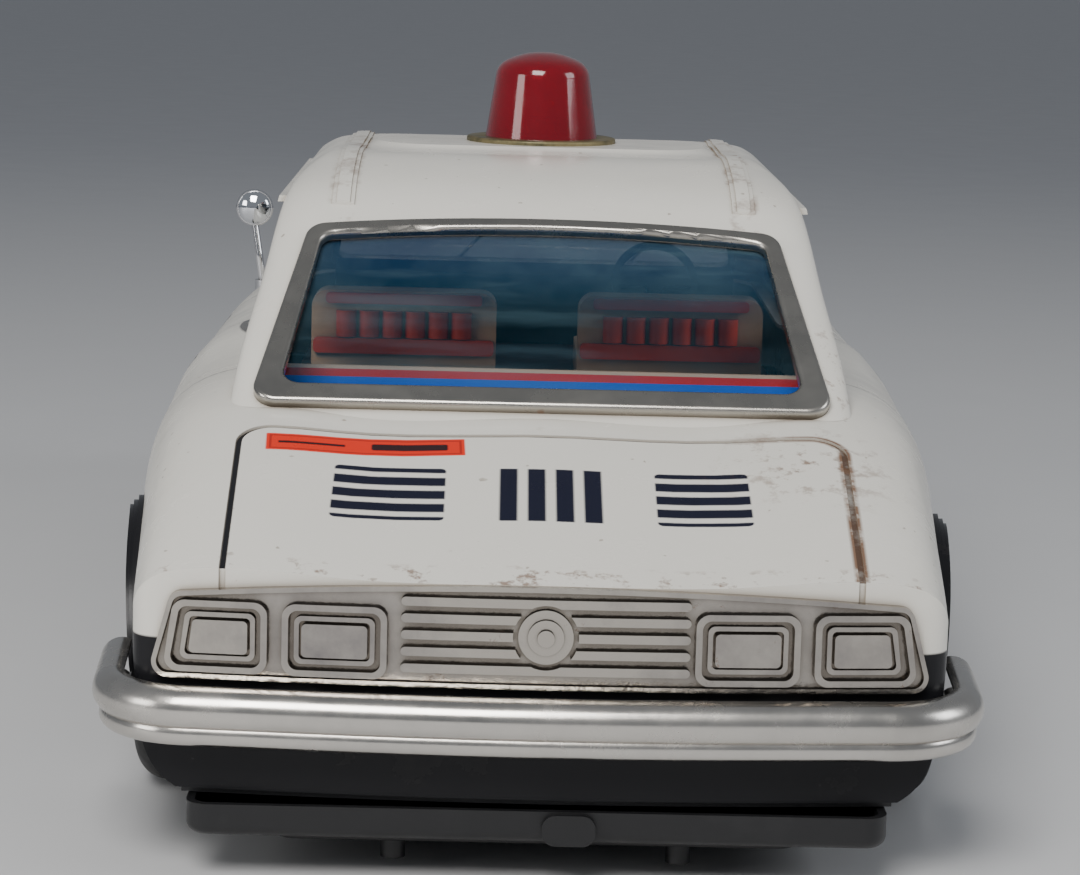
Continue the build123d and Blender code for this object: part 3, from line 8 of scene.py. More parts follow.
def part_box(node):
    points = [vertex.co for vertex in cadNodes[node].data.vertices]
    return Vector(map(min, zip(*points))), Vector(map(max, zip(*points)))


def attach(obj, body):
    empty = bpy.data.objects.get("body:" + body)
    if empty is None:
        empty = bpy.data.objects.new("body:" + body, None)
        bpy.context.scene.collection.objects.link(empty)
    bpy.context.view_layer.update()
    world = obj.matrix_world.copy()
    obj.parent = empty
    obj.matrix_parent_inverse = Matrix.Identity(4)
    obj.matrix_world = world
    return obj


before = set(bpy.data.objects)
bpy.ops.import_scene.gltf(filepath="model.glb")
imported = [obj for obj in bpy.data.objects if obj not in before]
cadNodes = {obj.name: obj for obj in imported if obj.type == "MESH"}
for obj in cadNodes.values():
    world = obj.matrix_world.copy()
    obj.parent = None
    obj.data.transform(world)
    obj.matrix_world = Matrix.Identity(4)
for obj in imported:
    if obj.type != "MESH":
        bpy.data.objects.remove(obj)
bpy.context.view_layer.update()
print("frame loaded:", len(cadNodes), "nodes")

# places that the looks are tied to
rearAxle = (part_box("rear_axle")[0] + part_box("rear_axle")[1]) / 2
frontAxle = (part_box("front_axle")[0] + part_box("front_axle")[1]) / 2


# small helpers for node trees

def addNode(tree, kind, inputs=None, **settings):
    node = tree.nodes.new(kind)
    for key, value in settings.items():
        setattr(node, key, value)
    for key, value in (inputs or {}).items():
        if isinstance(value, bpy.types.NodeSocket):
            tree.links.new(value, node.inputs[key])
        else:
            node.inputs[key].default_value = value
    return node


def calc(tree, operation, a, b=0.0, c=None, clamp=False):
    inputs = {0: a, 1: b}
    if c is not None:
        inputs[2] = c
    return addNode(tree, "ShaderNodeMath", inputs, operation=operation, use_clamp=clamp).outputs[0]


def times(tree, a, b):
    return calc(tree, "MULTIPLY", a, b)


def mixColour(tree, factor, a, b, blend="MIX"):
    node = addNode(tree, "ShaderNodeMix", {0: factor, 6: a, 7: b}, data_type="RGBA", blend_type=blend)
    node.clamp_factor = True
    return node.outputs[2]


def colour(r, g, b):
    return (r, g, b, 1.0)


def ramp(tree, value, low, high, outLow=0.0, outHigh=1.0, smooth=True):
    node = addNode(tree, "ShaderNodeMapRange", {0: value, 1: low, 2: high, 3: outLow, 4: outHigh})
    node.interpolation_type = "SMOOTHSTEP" if smooth else "LINEAR"
    return node.outputs[0]


def newGroup(name, inputs, outputs):
    tree = bpy.data.node_groups.new(name, "ShaderNodeTree")
    for label, kind, value in inputs:
        socket = tree.interface.new_socket(label, in_out="INPUT", socket_type=kind)
        if value is not None:
            socket.default_value = value
    for label, kind in outputs:
        tree.interface.new_socket(label, in_out="OUTPUT", socket_type=kind)
    return tree, tree.nodes.new("NodeGroupInput"), tree.nodes.new("NodeGroupOutput")


def useGroup(tree, group, **inputs):
    node = tree.nodes.new("ShaderNodeGroup")
    node.node_tree = group
    for key, value in inputs.items():
        if isinstance(value, bpy.types.NodeSocket):
            tree.links.new(value, node.inputs[key])
        else:
            node.inputs[key].default_value = value
    return node.outputs


floatSocket, vectorSocket = "NodeSocketFloat", "NodeSocketVector"

# grime: soft cloudy patches with finer break-up
grimeGroup, gin, gout = newGroup(
    "grime",
    [
        ("Vector", vectorSocket, None),
        ("Scale", floatSocket, 40.0),
        ("Cover", floatSocket, 0.4),
        ("Edge", floatSocket, 0.12),
    ],
    [("Mask", floatSocket)],
)
coarse = addNode(
    grimeGroup,
    "ShaderNodeTexNoise",
    {"Vector": gin.outputs["Vector"], "Scale": gin.outputs["Scale"], "Detail": 8.0, "Roughness": 0.68},
)
limit = calc(grimeGroup, "SUBTRACT", 1.0, gin.outputs["Cover"])
upper = calc(grimeGroup, "ADD", limit, gin.outputs["Edge"])
mask = addNode(grimeGroup, "ShaderNodeMapRange", {0: coarse.outputs["Fac"], 1: limit, 2: upper})
grimeGroup.links.new(mask.outputs[0], gout.inputs["Mask"])

# specks: small irregular dots, dirt or rust
speckGroup, gin, gout = newGroup(
    "specks",
    [
        ("Vector", vectorSocket, None),
        ("Scale", floatSocket, 300.0),
        ("Size", floatSocket, 0.2),
        ("Share", floatSocket, 0.3),
    ],
    [("Mask", floatSocket)],
)
warp = addNode(
    speckGroup, "ShaderNodeTexNoise", {"Vector": gin.outputs["Vector"], "Scale": 900.0, "Detail": 3.0},
)
bent = addNode(
    speckGroup,
    "ShaderNodeMix",
    {0: 0.0012, 4: gin.outputs["Vector"], 5: warp.outputs["Color"]},
    data_type="VECTOR",
)
cells = addNode(
    speckGroup,
    "ShaderNodeTexVoronoi",
    {"Vector": bent.outputs[1], "Scale": gin.outputs["Scale"], "Randomness": 1.0},
)
pick = addNode(speckGroup, "ShaderNodeSeparateColor", {0: cells.outputs["Color"]})
chosen = calc(speckGroup, "LESS_THAN", pick.outputs[0], gin.outputs["Share"])
reach = times(speckGroup, gin.outputs["Size"], calc(speckGroup, "ADD", pick.outputs[1], 0.35))
inside = addNode(
    speckGroup,
    "ShaderNodeMapRange",
    {0: cells.outputs["Distance"], 1: reach, 2: times(speckGroup, reach, 0.6), 3: 0.0, 4: 1.0},
)
speckGroup.links.new(times(speckGroup, inside.outputs[0], chosen), gout.inputs["Mask"])

# roundBox: signed distance to a rounded rectangle in the X-Y plane of its vector
roundBoxGroup, gin, gout = newGroup(
    "roundBox",
    [
        ("Vector", vectorSocket, None),
        ("Centre", vectorSocket, None),
        ("Half", vectorSocket, None),
        ("Corner", floatSocket, 0.002),
    ],
    [("Distance", floatSocket)],
)
off = addNode(
    roundBoxGroup,
    "ShaderNodeVectorMath",
    {0: gin.outputs["Vector"], 1: gin.outputs["Centre"]},
    operation="SUBTRACT",
)
size = addNode(roundBoxGroup, "ShaderNodeVectorMath", {0: off.outputs[0]}, operation="ABSOLUTE")
over = addNode(
    roundBoxGroup,
    "ShaderNodeVectorMath",
    {0: size.outputs[0], 1: gin.outputs["Half"]},
    operation="SUBTRACT",
)
parts = addNode(roundBoxGroup, "ShaderNodeSeparateXYZ", {0: over.outputs[0]})
ax = calc(roundBoxGroup, "ADD", parts.outputs[0], gin.outputs["Corner"])
ay = calc(roundBoxGroup, "ADD", parts.outputs[1], gin.outputs["Corner"])
px = calc(roundBoxGroup, "MAXIMUM", ax, 0.0)
py = calc(roundBoxGroup, "MAXIMUM", ay, 0.0)
outer = calc(
    roundBoxGroup,
    "SQRT",
    calc(roundBoxGroup, "ADD", times(roundBoxGroup, px, px), times(roundBoxGroup, py, py)),
)
inner = calc(roundBoxGroup, "MINIMUM", calc(roundBoxGroup, "MAXIMUM", ax, ay), 0.0)
total = calc(roundBoxGroup, "SUBTRACT", calc(roundBoxGroup, "ADD", outer, inner), gin.outputs["Corner"])
roundBoxGroup.links.new(total, gout.inputs["Distance"])

# finish: fine unevenness of a surface, for roughness and bump
finishGroup, gin, gout = newGroup(
    "finish",
    [
        ("Vector", vectorSocket, None),
        ("Scale", floatSocket, 120.0),
        ("Low", floatSocket, 0.3),
        ("High", floatSocket, 0.45),
    ],
    [("Roughness", floatSocket), ("Height", floatSocket)],
)
cloud = addNode(
    finishGroup,
    "ShaderNodeTexNoise",
    {"Vector": gin.outputs["Vector"], "Scale": gin.outputs["Scale"], "Detail": 6.0, "Roughness": 0.6},
)
fine = addNode(
    finishGroup,
    "ShaderNodeTexNoise",
    {
        "Vector": gin.outputs["Vector"],
        "Scale": times(finishGroup, gin.outputs["Scale"], 11.0),
        "Detail": 3.0,
    },
)
spread = addNode(
    finishGroup,
    "ShaderNodeMapRange",
    {0: cloud.outputs["Fac"], 1: 0.3, 2: 0.7, 3: gin.outputs["Low"], 4: gin.outputs["High"]},
)
height = calc(finishGroup, "ADD", cloud.outputs["Fac"], times(finishGroup, fine.outputs["Fac"], 0.25))
finishGroup.links.new(spread.outputs[0], gout.inputs["Roughness"])
finishGroup.links.new(height, gout.inputs["Height"])
print("shared effects built")


def startMaterial(name):
    material = bpy.data.materials.new(name)
    material.use_nodes = True
    tree = material.node_tree
    tree.nodes.clear()
    end = tree.nodes.new("ShaderNodeOutputMaterial")
    shader = tree.nodes.new("ShaderNodeBsdfPrincipled")
    tree.links.new(shader.outputs[0], end.inputs["Surface"])
    place = tree.nodes.new("ShaderNodeTexCoord").outputs["Object"]
    return material, tree, shader, place


def setShader(tree, shader, **values):
    for key, value in values.items():
        socket = shader.inputs[key.replace("_", " ")]
        if isinstance(value, bpy.types.NodeSocket):
            tree.links.new(value, socket)
        else:
            socket.default_value = value


def bumpFrom(tree, shader, height, strength, distance=0.0002):
    node = addNode(tree, "ShaderNodeBump", {"Height": height, "Strength": strength, "Distance": distance})
    tree.links.new(node.outputs[0], shader.inputs["Normal"])


# ambient occlusion, used for painted shade and for roughness: 1 in a groove or corner, 0 in the open
def creases(tree, distance):
    node = addNode(tree, "ShaderNodeAmbientOcclusion", {"Distance": distance}, samples=6)
    return ramp(tree, node.outputs["AO"], 0.85, 0.35)


# scale in cells per metre, cover is the share of the surface that the patches take
def grime(tree, place, scale, cover, edge):
    return useGroup(tree, grimeGroup, Vector=place, Scale=scale, Cover=cover, Edge=edge)["Mask"]


def specks(tree, place, scale, size, share):
    return useGroup(tree, speckGroup, Vector=place, Scale=scale, Size=size, Share=share)["Mask"]


def unevenness(tree, place, scale, low, high):
    return useGroup(tree, finishGroup, Vector=place, Scale=scale, Low=low, High=high)


# colour laid over another where the mask is, up to an amount
def overlay(tree, base, mask, amount, tone):
    return mixColour(tree, times(tree, mask, amount), base, tone)


def distanceTo(tree, place, spot):
    node = addNode(tree, "ShaderNodeVectorMath", {0: place, 1: spot}, operation="DISTANCE")
    return node.outputs["Value"]


def linear(tree, value, low, high, outLow=0.0, outHigh=1.0):
    inputs = {0: value, 1: low, 2: high, 3: outLow, 4: outHigh}
    return addNode(tree, "ShaderNodeMapRange", inputs).outputs[0]


# printed tin of the body and cabin

paint = {
    "white": colour(0.79, 0.765, 0.70),
    "whiteShade": colour(0.68, 0.645, 0.575),
    "black": colour(0.012, 0.012, 0.014),
    "navy": colour(0.006, 0.007, 0.022),
    "sticker": colour(0.78, 0.030, 0.008),
    "rust": colour(0.17, 0.075, 0.03),
    "dirtAndShade": colour(0.22, 0.16, 0.10),
    "splitHeight": 0.0455,
    "archReach": 0.0341,
    "frontArchStretch": 0.005,
    "handleHalf": (0.0058, 0.0011),
    "handlePlaces": ((0.055, 0.0735), (-0.022, 0.0735)),
}


def agedWhite(tree, place):
    cloud = grime(tree, place, 9.0, 0.55, 0.35)
    base = mixColour(tree, times(tree, cloud, 0.45), paint["white"], paint["whiteShade"])
    dots = specks(tree, place, 170.0, 0.14, 0.20)
    patches = grime(tree, place, 22.0, 0.52, 0.15)
    base = overlay(tree, base, times(tree, dots, patches), 0.85, paint["dirtAndShade"])
    tiny = specks(tree, place, 420.0, 0.18, 0.08)
    return overlay(tree, base, tiny, 0.55, paint["dirtAndShade"])


def between(tree, value, low, high, soft=0.00025):
    rise = linear(tree, value, low - soft, low + soft)
    fall = linear(tree, value, high - soft, high + soft, 1.0, 0.0)
    return times(tree, rise, fall)


def boxAt(tree, vector, centre, half, corner=0.0006):
    return useGroup(
        tree, roundBoxGroup, Vector=vector, Centre=(*centre, 0.0), Half=(*half, 1.0), Corner=corner,
    )["Distance"]


def filled(tree, distance, soft=0.00018):
    return linear(tree, distance, soft, -soft)


def outlined(tree, distance, width):
    return linear(tree, calc(tree, "ABSOLUTE", distance), width, width * 0.6)


def either(tree, *masks):
    result = masks[0]
    for other in masks[1:]:
        result = calc(tree, "MAXIMUM", result, other)
    return result


lidPrint = {
    "barGroups": [(-0.0305, 0.0112), (0.0019, 0.0110), (0.0320, 0.0094)],
    "barMiddle": -0.1662,
    "barReach": 0.0112,
    "barPitch": 0.0028,
    "barHalfWidth": 0.0018,
    "stickerCentre": (-0.0360, -0.1462),
    "stickerHalf": (0.0203, 0.0038),
    "stickerTurn": 2.6,
}


lidGroove = {
    "middleY": -0.2405, "half": (0.0620, 0.1005), "corner": 0.007, "flare": 0.0269, "flareFrom": 0.14,
    "thinWidth": 0.00075, "wideWidth": 0.0017, "frontEnd": -0.13,
}
rustPlaces = {
    "bootRight": (0.054, -0.152, 0.071), "bootReach": 0.024,
    "windowFoot": (0.060, -0.118, 0.088), "windowReach": 0.022,
    "tailEdge": (-0.2045, -0.1965),
}
panelLines = {
    "doors": ((0.0260, 0.0530, 0.0380), (-0.0500, 0.0530, 0.0370)),
    "doorHalfHeight": 0.0300, "bonnetMiddle": 0.152, "bonnetHalf": (0.0600, 0.0450),
    "width": 0.00045, "sideFrom": 0.066,
}


def bodyPaint():
    material, tree, shader, place = startMaterial("printedBodyTin")
    axes = addNode(tree, "ShaderNodeSeparateXYZ", {0: place}).outputs
    x, y, z = axes[0], axes[1], axes[2]
    side = addNode(tree, "ShaderNodeCombineXYZ", {0: y, 1: z}).outputs[0]
    geometry = addNode(tree, "ShaderNodeNewGeometry").outputs
    normal = addNode(tree, "ShaderNodeSeparateXYZ", {0: geometry["Normal"]}).outputs
    base = agedWhite(tree, place)

    # painted shade: the occlusion mask darkens the tail edge, the lid groove and the cabin foot in a
    # brown-grey tone
    creaseShade = creases(tree, 0.004)
    base = overlay(tree, base, creaseShade, 0.75, paint["dirtAndShade"])

    # generic blocks stand where the boot lid was printed
    top = calc(tree, "GREATER_THAN", normal[2], 0.3)
    marks = []
    for index, (centreX, halfX) in enumerate(lidPrint["barGroups"]):
        barHalf = (halfX, lidPrint["barReach"])
        whole = filled(tree, boxAt(tree, place, (centreX, lidPrint["barMiddle"]), barHalf, 0.0012))
        across = (x, 0.0019 + 0.1) if index == 1 else (y, 0.2)  # the middle group's bars stand upright
        wave = calc(tree, "PINGPONG", calc(tree, "ADD", *across), lidPrint["barPitch"])
        gaps = between(tree, wave, lidPrint["barHalfWidth"], 0.01)
        marks.append(times(tree, whole, calc(tree, "SUBTRACT", 1.0, gaps)))
    base = mixColour(tree, times(tree, either(tree, *marks), top), base, paint["navy"])

    turned = addNode(tree, "ShaderNodeMapping", {
        "Vector": place,
        "Location": (0.0, 0.0, 0.0),
        "Rotation": (0.0, 0.0, math.radians(-lidPrint["stickerTurn"])),
    }).outputs[0]
    turnBack = Matrix.Rotation(math.radians(-lidPrint["stickerTurn"]), 3, "Z")
    spot = turnBack @ Vector((*lidPrint["stickerCentre"], 0.0))
    label = boxAt(tree, turned, (spot.x, spot.y), lidPrint["stickerHalf"], 0.0003)
    rim = outlined(tree, calc(tree, "ADD", label, 0.0009), 0.0003)
    red = mixColour(tree, rim, paint["sticker"], colour(0.45, 0.02, 0.01))
    thinBar = filled(tree, boxAt(tree, turned, (spot.x - 0.011, spot.y), (0.0068, 0.0005), 0.0002))
    thickBar = filled(tree, boxAt(tree, turned, (spot.x + 0.009, spot.y), (0.0078, 0.0014), 0.0006))
    red = mixColour(tree, either(tree, thinBar, thickBar), red, colour(0.03, 0.008, 0.01))
    base = mixColour(tree, times(tree, filled(tree, label), top), base, red)

    # the groove round the lid: thin black line on the left, a wider brown one on the right
    halfLid = lidGroove["half"][0]
    flare = times(tree, calc(tree, "ADD", y, lidGroove["flareFrom"]), lidGroove["flare"])
    grow = calc(tree, "ADD", halfLid, flare)
    flatX = calc(tree, "DIVIDE", times(tree, x, halfLid), grow)
    lidPlane = addNode(tree, "ShaderNodeCombineXYZ", {0: flatX, 1: y}).outputs[0]
    lidLine = boxAt(tree, lidPlane, (0.0, lidGroove["middleY"]), lidGroove["half"], lidGroove["corner"])
    behind = times(tree, top, calc(tree, "LESS_THAN", y, lidGroove["frontEnd"]))
    thin = times(tree, outlined(tree, lidLine, lidGroove["thinWidth"]), behind)
    onRight = linear(tree, x, 0.030, 0.060)
    patchy = grime(tree, place, 140.0, 0.70, 0.2)
    wideLine = times(tree, outlined(tree, lidLine, lidGroove["wideWidth"]), behind)
    wide = times(tree, wideLine, times(tree, onRight, patchy))
    base = overlay(tree, base, wide, 0.92, paint["rust"])
    onLeft = calc(tree, "SUBTRACT", 1.0, times(tree, onRight, 0.5))
    base = mixColour(tree, times(tree, thin, onLeft), base, paint["black"])

    # rust breaks out at the right of the boot and near the tail's edge
    nearRust = distanceTo(tree, place, rustPlaces["bootRight"])
    spread = linear(tree, nearRust, rustPlaces["bootReach"], 0.002)
    fleck = grime(tree, place, 230.0, 0.46, 0.10)
    base = overlay(tree, base, times(tree, spread, fleck), 0.8, paint["rust"])
    edge = times(tree, between(tree, y, *rustPlaces["tailEdge"], 0.0015), top)
    chips = grime(tree, place, 190.0, 0.45, 0.08)
    base = overlay(tree, base, times(tree, edge, chips), 0.75, paint["rust"])

    # door and bonnet lines, printed thin
    onSide = calc(tree, "GREATER_THAN", calc(tree, "ABSOLUTE", x), panelLines["sideFrom"])
    doors = []
    for middleY, middleZ, halfLength in panelLines["doors"]:
        doorHalf = (halfLength, panelLines["doorHalfHeight"])
        doors.append(boxAt(tree, side, (middleY, middleZ), doorHalf, 0.004))
    doorEdges = [outlined(tree, d, panelLines["width"]) for d in doors]
    doorLines = times(tree, either(tree, *doorEdges), onSide)
    bonnet = boxAt(tree, place, (0.0, panelLines["bonnetMiddle"]), panelLines["bonnetHalf"], 0.006)
    bonnetLine = times(tree, outlined(tree, bonnet, panelLines["width"]), top)
    base = overlay(tree, base, either(tree, doorLines, bonnetLine), 0.85, paint["black"])

    # bright printed door handles with a dark rim
    grips = [boxAt(tree, side, spot, paint["handleHalf"], 0.001) for spot in paint["handlePlaces"]]
    grip = either(tree, *[filled(tree, d) for d in grips])
    gripRim = either(tree, *[outlined(tree, d, 0.0004) for d in grips])
    base = mixColour(tree, times(tree, grip, onSide), base, colour(0.42, 0.42, 0.41))
    base = mixColour(tree, times(tree, gripRim, onSide), base, paint["black"])

    # black lower body and wheel arches
    archMasks = []
    for axle, stretch in ((rearAxle, 0.0), (frontAxle, paint["frontArchStretch"])):
        along = calc(tree, "ABSOLUTE", calc(tree, "SUBTRACT", y, axle.y))
        along = calc(tree, "MAXIMUM", calc(tree, "SUBTRACT", along, stretch), 0.0)
        aside = addNode(
            tree, "ShaderNodeCombineXYZ", {0: along, 1: calc(tree, "SUBTRACT", z, axle.z)},
        ).outputs[0]
        away = addNode(tree, "ShaderNodeVectorMath", {0: aside}, operation="LENGTH").outputs["Value"]
        reach = paint["archReach"]
        archMasks.append(linear(tree, away, reach, reach - 0.0004))
    arches = times(tree, either(tree, *archMasks), onSide)
    split = paint["splitHeight"]
    low = linear(tree, z, split + 0.0002, split - 0.0002)
    dark = either(tree, low, arches)
    scuff = grime(tree, place, 60.0, 0.42, 0.2)
    blackPaint = mixColour(tree, times(tree, scuff, 0.35), paint["black"], colour(0.05, 0.046, 0.042))
    base = mixColour(tree, dark, base, blackPaint)

    surface = unevenness(tree, place, 60.0, 0.16, 0.30)
    worn = calc(tree, "MAXIMUM", surface["Roughness"], times(tree, creaseShade, 0.7))
    setShader(tree, shader, Base_Color=base, Roughness=worn, Specular_IOR_Level=0.32, IOR=1.4)
    bumpFrom(tree, shader, surface["Height"], 0.10)
    return material


def cabinPaint():
    material, tree, shader, place = startMaterial("printedCabinTin")
    axes = addNode(tree, "ShaderNodeSeparateXYZ", {0: place}).outputs
    x, y, z = axes[0], axes[1], axes[2]
    base = agedWhite(tree, place)
    # painted shade: the occlusion mask darkens the creases in a brown-grey tone
    creaseShade = creases(tree, 0.003)
    base = overlay(tree, base, creaseShade, 0.8, paint["dirtAndShade"])

    # stains along the pressed roof ribs
    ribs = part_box("cabin_shell")[1].x - 0.0208
    nearRib = between(tree, calc(tree, "ABSOLUTE", x), ribs - 0.0032, ribs + 0.0032, 0.0006)
    onRoof = calc(tree, "GREATER_THAN", z, 0.112)
    stain = grime(tree, place, 110.0, 0.50, 0.16)
    ribStain = times(tree, times(tree, nearRib, onRoof), stain)
    base = overlay(tree, base, ribStain, 0.65, paint["rust"])

    # rust beside the rear window's right foot
    nearRust = distanceTo(tree, place, rustPlaces["windowFoot"])
    spread = linear(tree, nearRust, rustPlaces["windowReach"], 0.004)
    fleck = grime(tree, place, 240.0, 0.44, 0.1)
    base = overlay(tree, base, times(tree, spread, fleck), 0.8, paint["rust"])
    surface = unevenness(tree, place, 55.0, 0.16, 0.30)
    worn = calc(tree, "MAXIMUM", surface["Roughness"], times(tree, creaseShade, 0.7))
    setShader(tree, shader, Base_Color=base, Roughness=worn, Specular_IOR_Level=0.32, IOR=1.4)
    bumpFrom(tree, shader, surface["Height"], 0.10)
    return material


# plated, plastic, rubber and glass finishes

def nickel(name, bright, rustCover=0.30, low=0.20, high=0.40):
    material, tree, shader, place = startMaterial(name)
    creaseShade = creases(tree, 0.003)
    # tarnish with painted dark reflection patches: cloudy areas of the base colour are darker
    tarnishAndReflection = grime(tree, place, 34.0, 0.55, 0.3)
    base = mixColour(tree, times(tree, tarnishAndReflection, 0.5), colour(*bright), colour(*[v * 0.62 for v in bright]))
    # painted shade: the creases are darkened to a brown-black
    base = overlay(tree, base, creaseShade, 0.8, colour(0.06, 0.045, 0.03))
    spots = specks(tree, place, 210.0, 0.20, 0.12)
    patches = grime(tree, place, 24.0, rustCover + 0.15, 0.12)
    rusty = times(tree, times(tree, spots, patches), 0.85)
    base = mixColour(tree, rusty, base, paint["rust"])
    surface = unevenness(tree, place, 75.0, low, high)
    metal = calc(tree, "SUBTRACT", 1.0, rusty)
    setShader(
        tree,
        shader,
        Base_Color=base,
        Metallic=metal,
        Roughness=calc(tree, "MAXIMUM", surface["Roughness"], times(tree, creaseShade, 0.42)),
    )
    bumpFrom(tree, shader, surface["Height"], 0.14)
    return material


def stampedTin():
    material, tree, shader, place = startMaterial("stampedPanel")
    creaseShade = creases(tree, 0.005)
    # tarnish with painted dark reflection patches: the cloudy mask swings the base from pale to dark grey
    tarnishAndReflection = grime(tree, place, 26.0, 0.56, 0.25)
    base = mixColour(tree, tarnishAndReflection, colour(0.52, 0.485, 0.435), colour(0.27, 0.25, 0.245))
    # painted shade: the creases are darkened to a dark brown
    base = overlay(tree, base, creaseShade, 0.9, colour(0.10, 0.08, 0.06))
    flecks = grime(tree, place, 170.0, 0.36, 0.06)
    zone = grime(tree, place, 18.0, 0.50, 0.10)
    rusty = times(tree, times(tree, flecks, zone), 0.75)
    base = mixColour(tree, rusty, base, paint["rust"])
    surface = unevenness(tree, place, 55.0, 0.10, 0.24)
    setShader(
        tree,
        shader,
        Base_Color=base,
        Metallic=calc(tree, "SUBTRACT", 1.0, rusty),
        Roughness=surface["Roughness"],
    )
    bumpFrom(tree, shader, surface["Height"], 0.45, 0.0005)
    return material


def plastic(name, tone, low, high, grain, bump, coat=0.0):
    material, tree, shader, place = startMaterial(name)
    creaseShade = creases(tree, 0.003)
    dust = grime(tree, place, 46.0, 0.46, 0.2)
    base = mixColour(
        tree, times(tree, dust, 0.4), colour(*tone), colour(*[v * 1.6 + 0.012 for v in tone]),
    )
    # painted shade: the creases take a darker copy of the tone
    base = overlay(tree, base, creaseShade, 0.5, colour(*[v * 0.5 for v in tone]))
    surface = unevenness(tree, place, grain, low, high)
    setShader(tree, shader, Base_Color=base, Roughness=surface["Roughness"], Coat_Weight=coat)
    bumpFrom(tree, shader, surface["Height"], bump)
    return material


def tintedSheet():
    material, tree, shader, place = startMaterial("blueWindowSheet")
    haze = grime(tree, place, 26.0, 0.62, 0.35)
    stretched = addNode(
        tree, "ShaderNodeMapping", {"Vector": place, "Scale": (12.0, 90.0, 90.0)},
    ).outputs[0]
    wipe = addNode(tree, "ShaderNodeTexNoise", {
        "Vector": stretched, "Scale": 1.0, "Detail": 5.0, "Roughness": 0.6,
    }).outputs["Fac"]
    streak = ramp(tree, wipe, 0.46, 0.68)
    film = either(tree, times(tree, haze, 0.7), streak)
    height = addNode(tree, "ShaderNodeSeparateXYZ", {0: place}).outputs[2]
    # painted shade: towards the top the sheet turns a darker blue and more opaque, hiding the cabin
    # behind it
    topShade = ramp(tree, height, 0.094, 0.108)
    base = mixColour(tree, film, colour(0.006, 0.050, 0.085), colour(0.06, 0.13, 0.17))
    upper = mixColour(tree, film, colour(0.006, 0.036, 0.090), colour(0.09, 0.16, 0.20))
    base = mixColour(tree, topShade, base, upper)
    filmCover = ramp(tree, film, 0.0, 1.0, 0.07, 0.20, smooth=False)
    alpha = calc(tree, "ADD", filmCover, times(tree, topShade, 0.46))
    surface = unevenness(tree, place, 40.0, 0.06, 0.16)
    setShader(
        tree,
        shader,
        Base_Color=base,
        Roughness=surface["Roughness"],
        Alpha=alpha,
        IOR=1.42,
        Specular_IOR_Level=0.3,
    )
    bumpFrom(tree, shader, surface["Height"], 0.05)
    return material


def redDome():
    material, tree, shader, place = startMaterial("redLampPlastic")
    cloud = grime(tree, place, 90.0, 0.5, 0.3)
    base = mixColour(
        tree, times(tree, cloud, 0.35), colour(0.40, 0.003, 0.018), colour(0.16, 0.002, 0.008),
    )
    surface = unevenness(tree, place, 140.0, 0.07, 0.16)
    setShader(
        tree,
        shader,
        Base_Color=base,
        Roughness=surface["Roughness"],
        IOR=1.49,
        Transmission_Weight=0.6,
        Coat_Weight=0.5,
        Coat_Roughness=0.05,
    )
    bumpFrom(tree, shader, surface["Height"], 0.08)
    return material


def clearGlass(name, tone, roughness=0.03):
    material, tree, shader, place = startMaterial(name)
    surface = unevenness(tree, place, 200.0, roughness, roughness + 0.06)
    setShader(
        tree,
        shader,
        Base_Color=colour(*tone),
        Roughness=surface["Roughness"],
        IOR=1.45,
        Transmission_Weight=0.95,
    )
    bumpFrom(tree, shader, surface["Height"], 0.05)
    return material


def tarnishedFlange():
    material, tree, shader, place = startMaterial("tarnishedFlange")
    cloud = grime(tree, place, 120.0, 0.6, 0.25)
    base = mixColour(tree, cloud, colour(0.30, 0.25, 0.13), colour(0.07, 0.075, 0.045))
    surface = unevenness(tree, place, 160.0, 0.35, 0.6)
    setShader(tree, shader, Base_Color=base, Metallic=0.75, Roughness=surface["Roughness"])
    bumpFrom(tree, shader, surface["Height"], 0.2)
    return material


def tyreRubber(name, axle):
    material, tree, shader, place = startMaterial(name)
    axes = addNode(tree, "ShaderNodeSeparateXYZ", {0: place}).outputs
    flat = addNode(tree, "ShaderNodeCombineXYZ", {0: axes[1], 1: axes[2]}).outputs[0]
    away = distanceTo(tree, flat, (axle.y, axle.z, 0.0))
    rings = calc(tree, "SINE", times(tree, away, 5200.0))
    sidewall = between(tree, away, 0.0185, 0.0215, 0.0004)
    dust = grime(tree, place, 70.0, 0.5, 0.2)
    base = mixColour(
        tree, times(tree, dust, 0.45), colour(0.012, 0.012, 0.012), colour(0.055, 0.052, 0.048),
    )
    surface = unevenness(tree, place, 180.0, 0.48, 0.7)
    setShader(tree, shader, Base_Color=base, Roughness=surface["Roughness"])
    bumpFrom(
        tree,
        shader,
        calc(tree, "ADD", times(tree, sidewall, times(tree, rings, 0.5)), surface["Height"]),
        0.35,
    )
    return material


def printedTin(name, tone, second, grain=90.0):
    material, tree, shader, place = startMaterial(name)
    cloud = grime(tree, place, grain, 0.5, 0.3)
    base = mixColour(tree, times(tree, cloud, 0.6), colour(*tone), colour(*second))
    creaseShade = creases(tree, 0.004)
    # painted shade: the creases take a dark copy of the second tone
    base = overlay(tree, base, creaseShade, 0.6, colour(*[v * 0.3 for v in second]))
    surface = unevenness(tree, place, grain, 0.3, 0.45)
    setShader(tree, shader, Base_Color=base, Roughness=surface["Roughness"])
    bumpFrom(tree, shader, surface["Height"], 0.1)
    return material


shelfBands = {"beigeEnds": 0.0007, "redEnds": 0.0024}


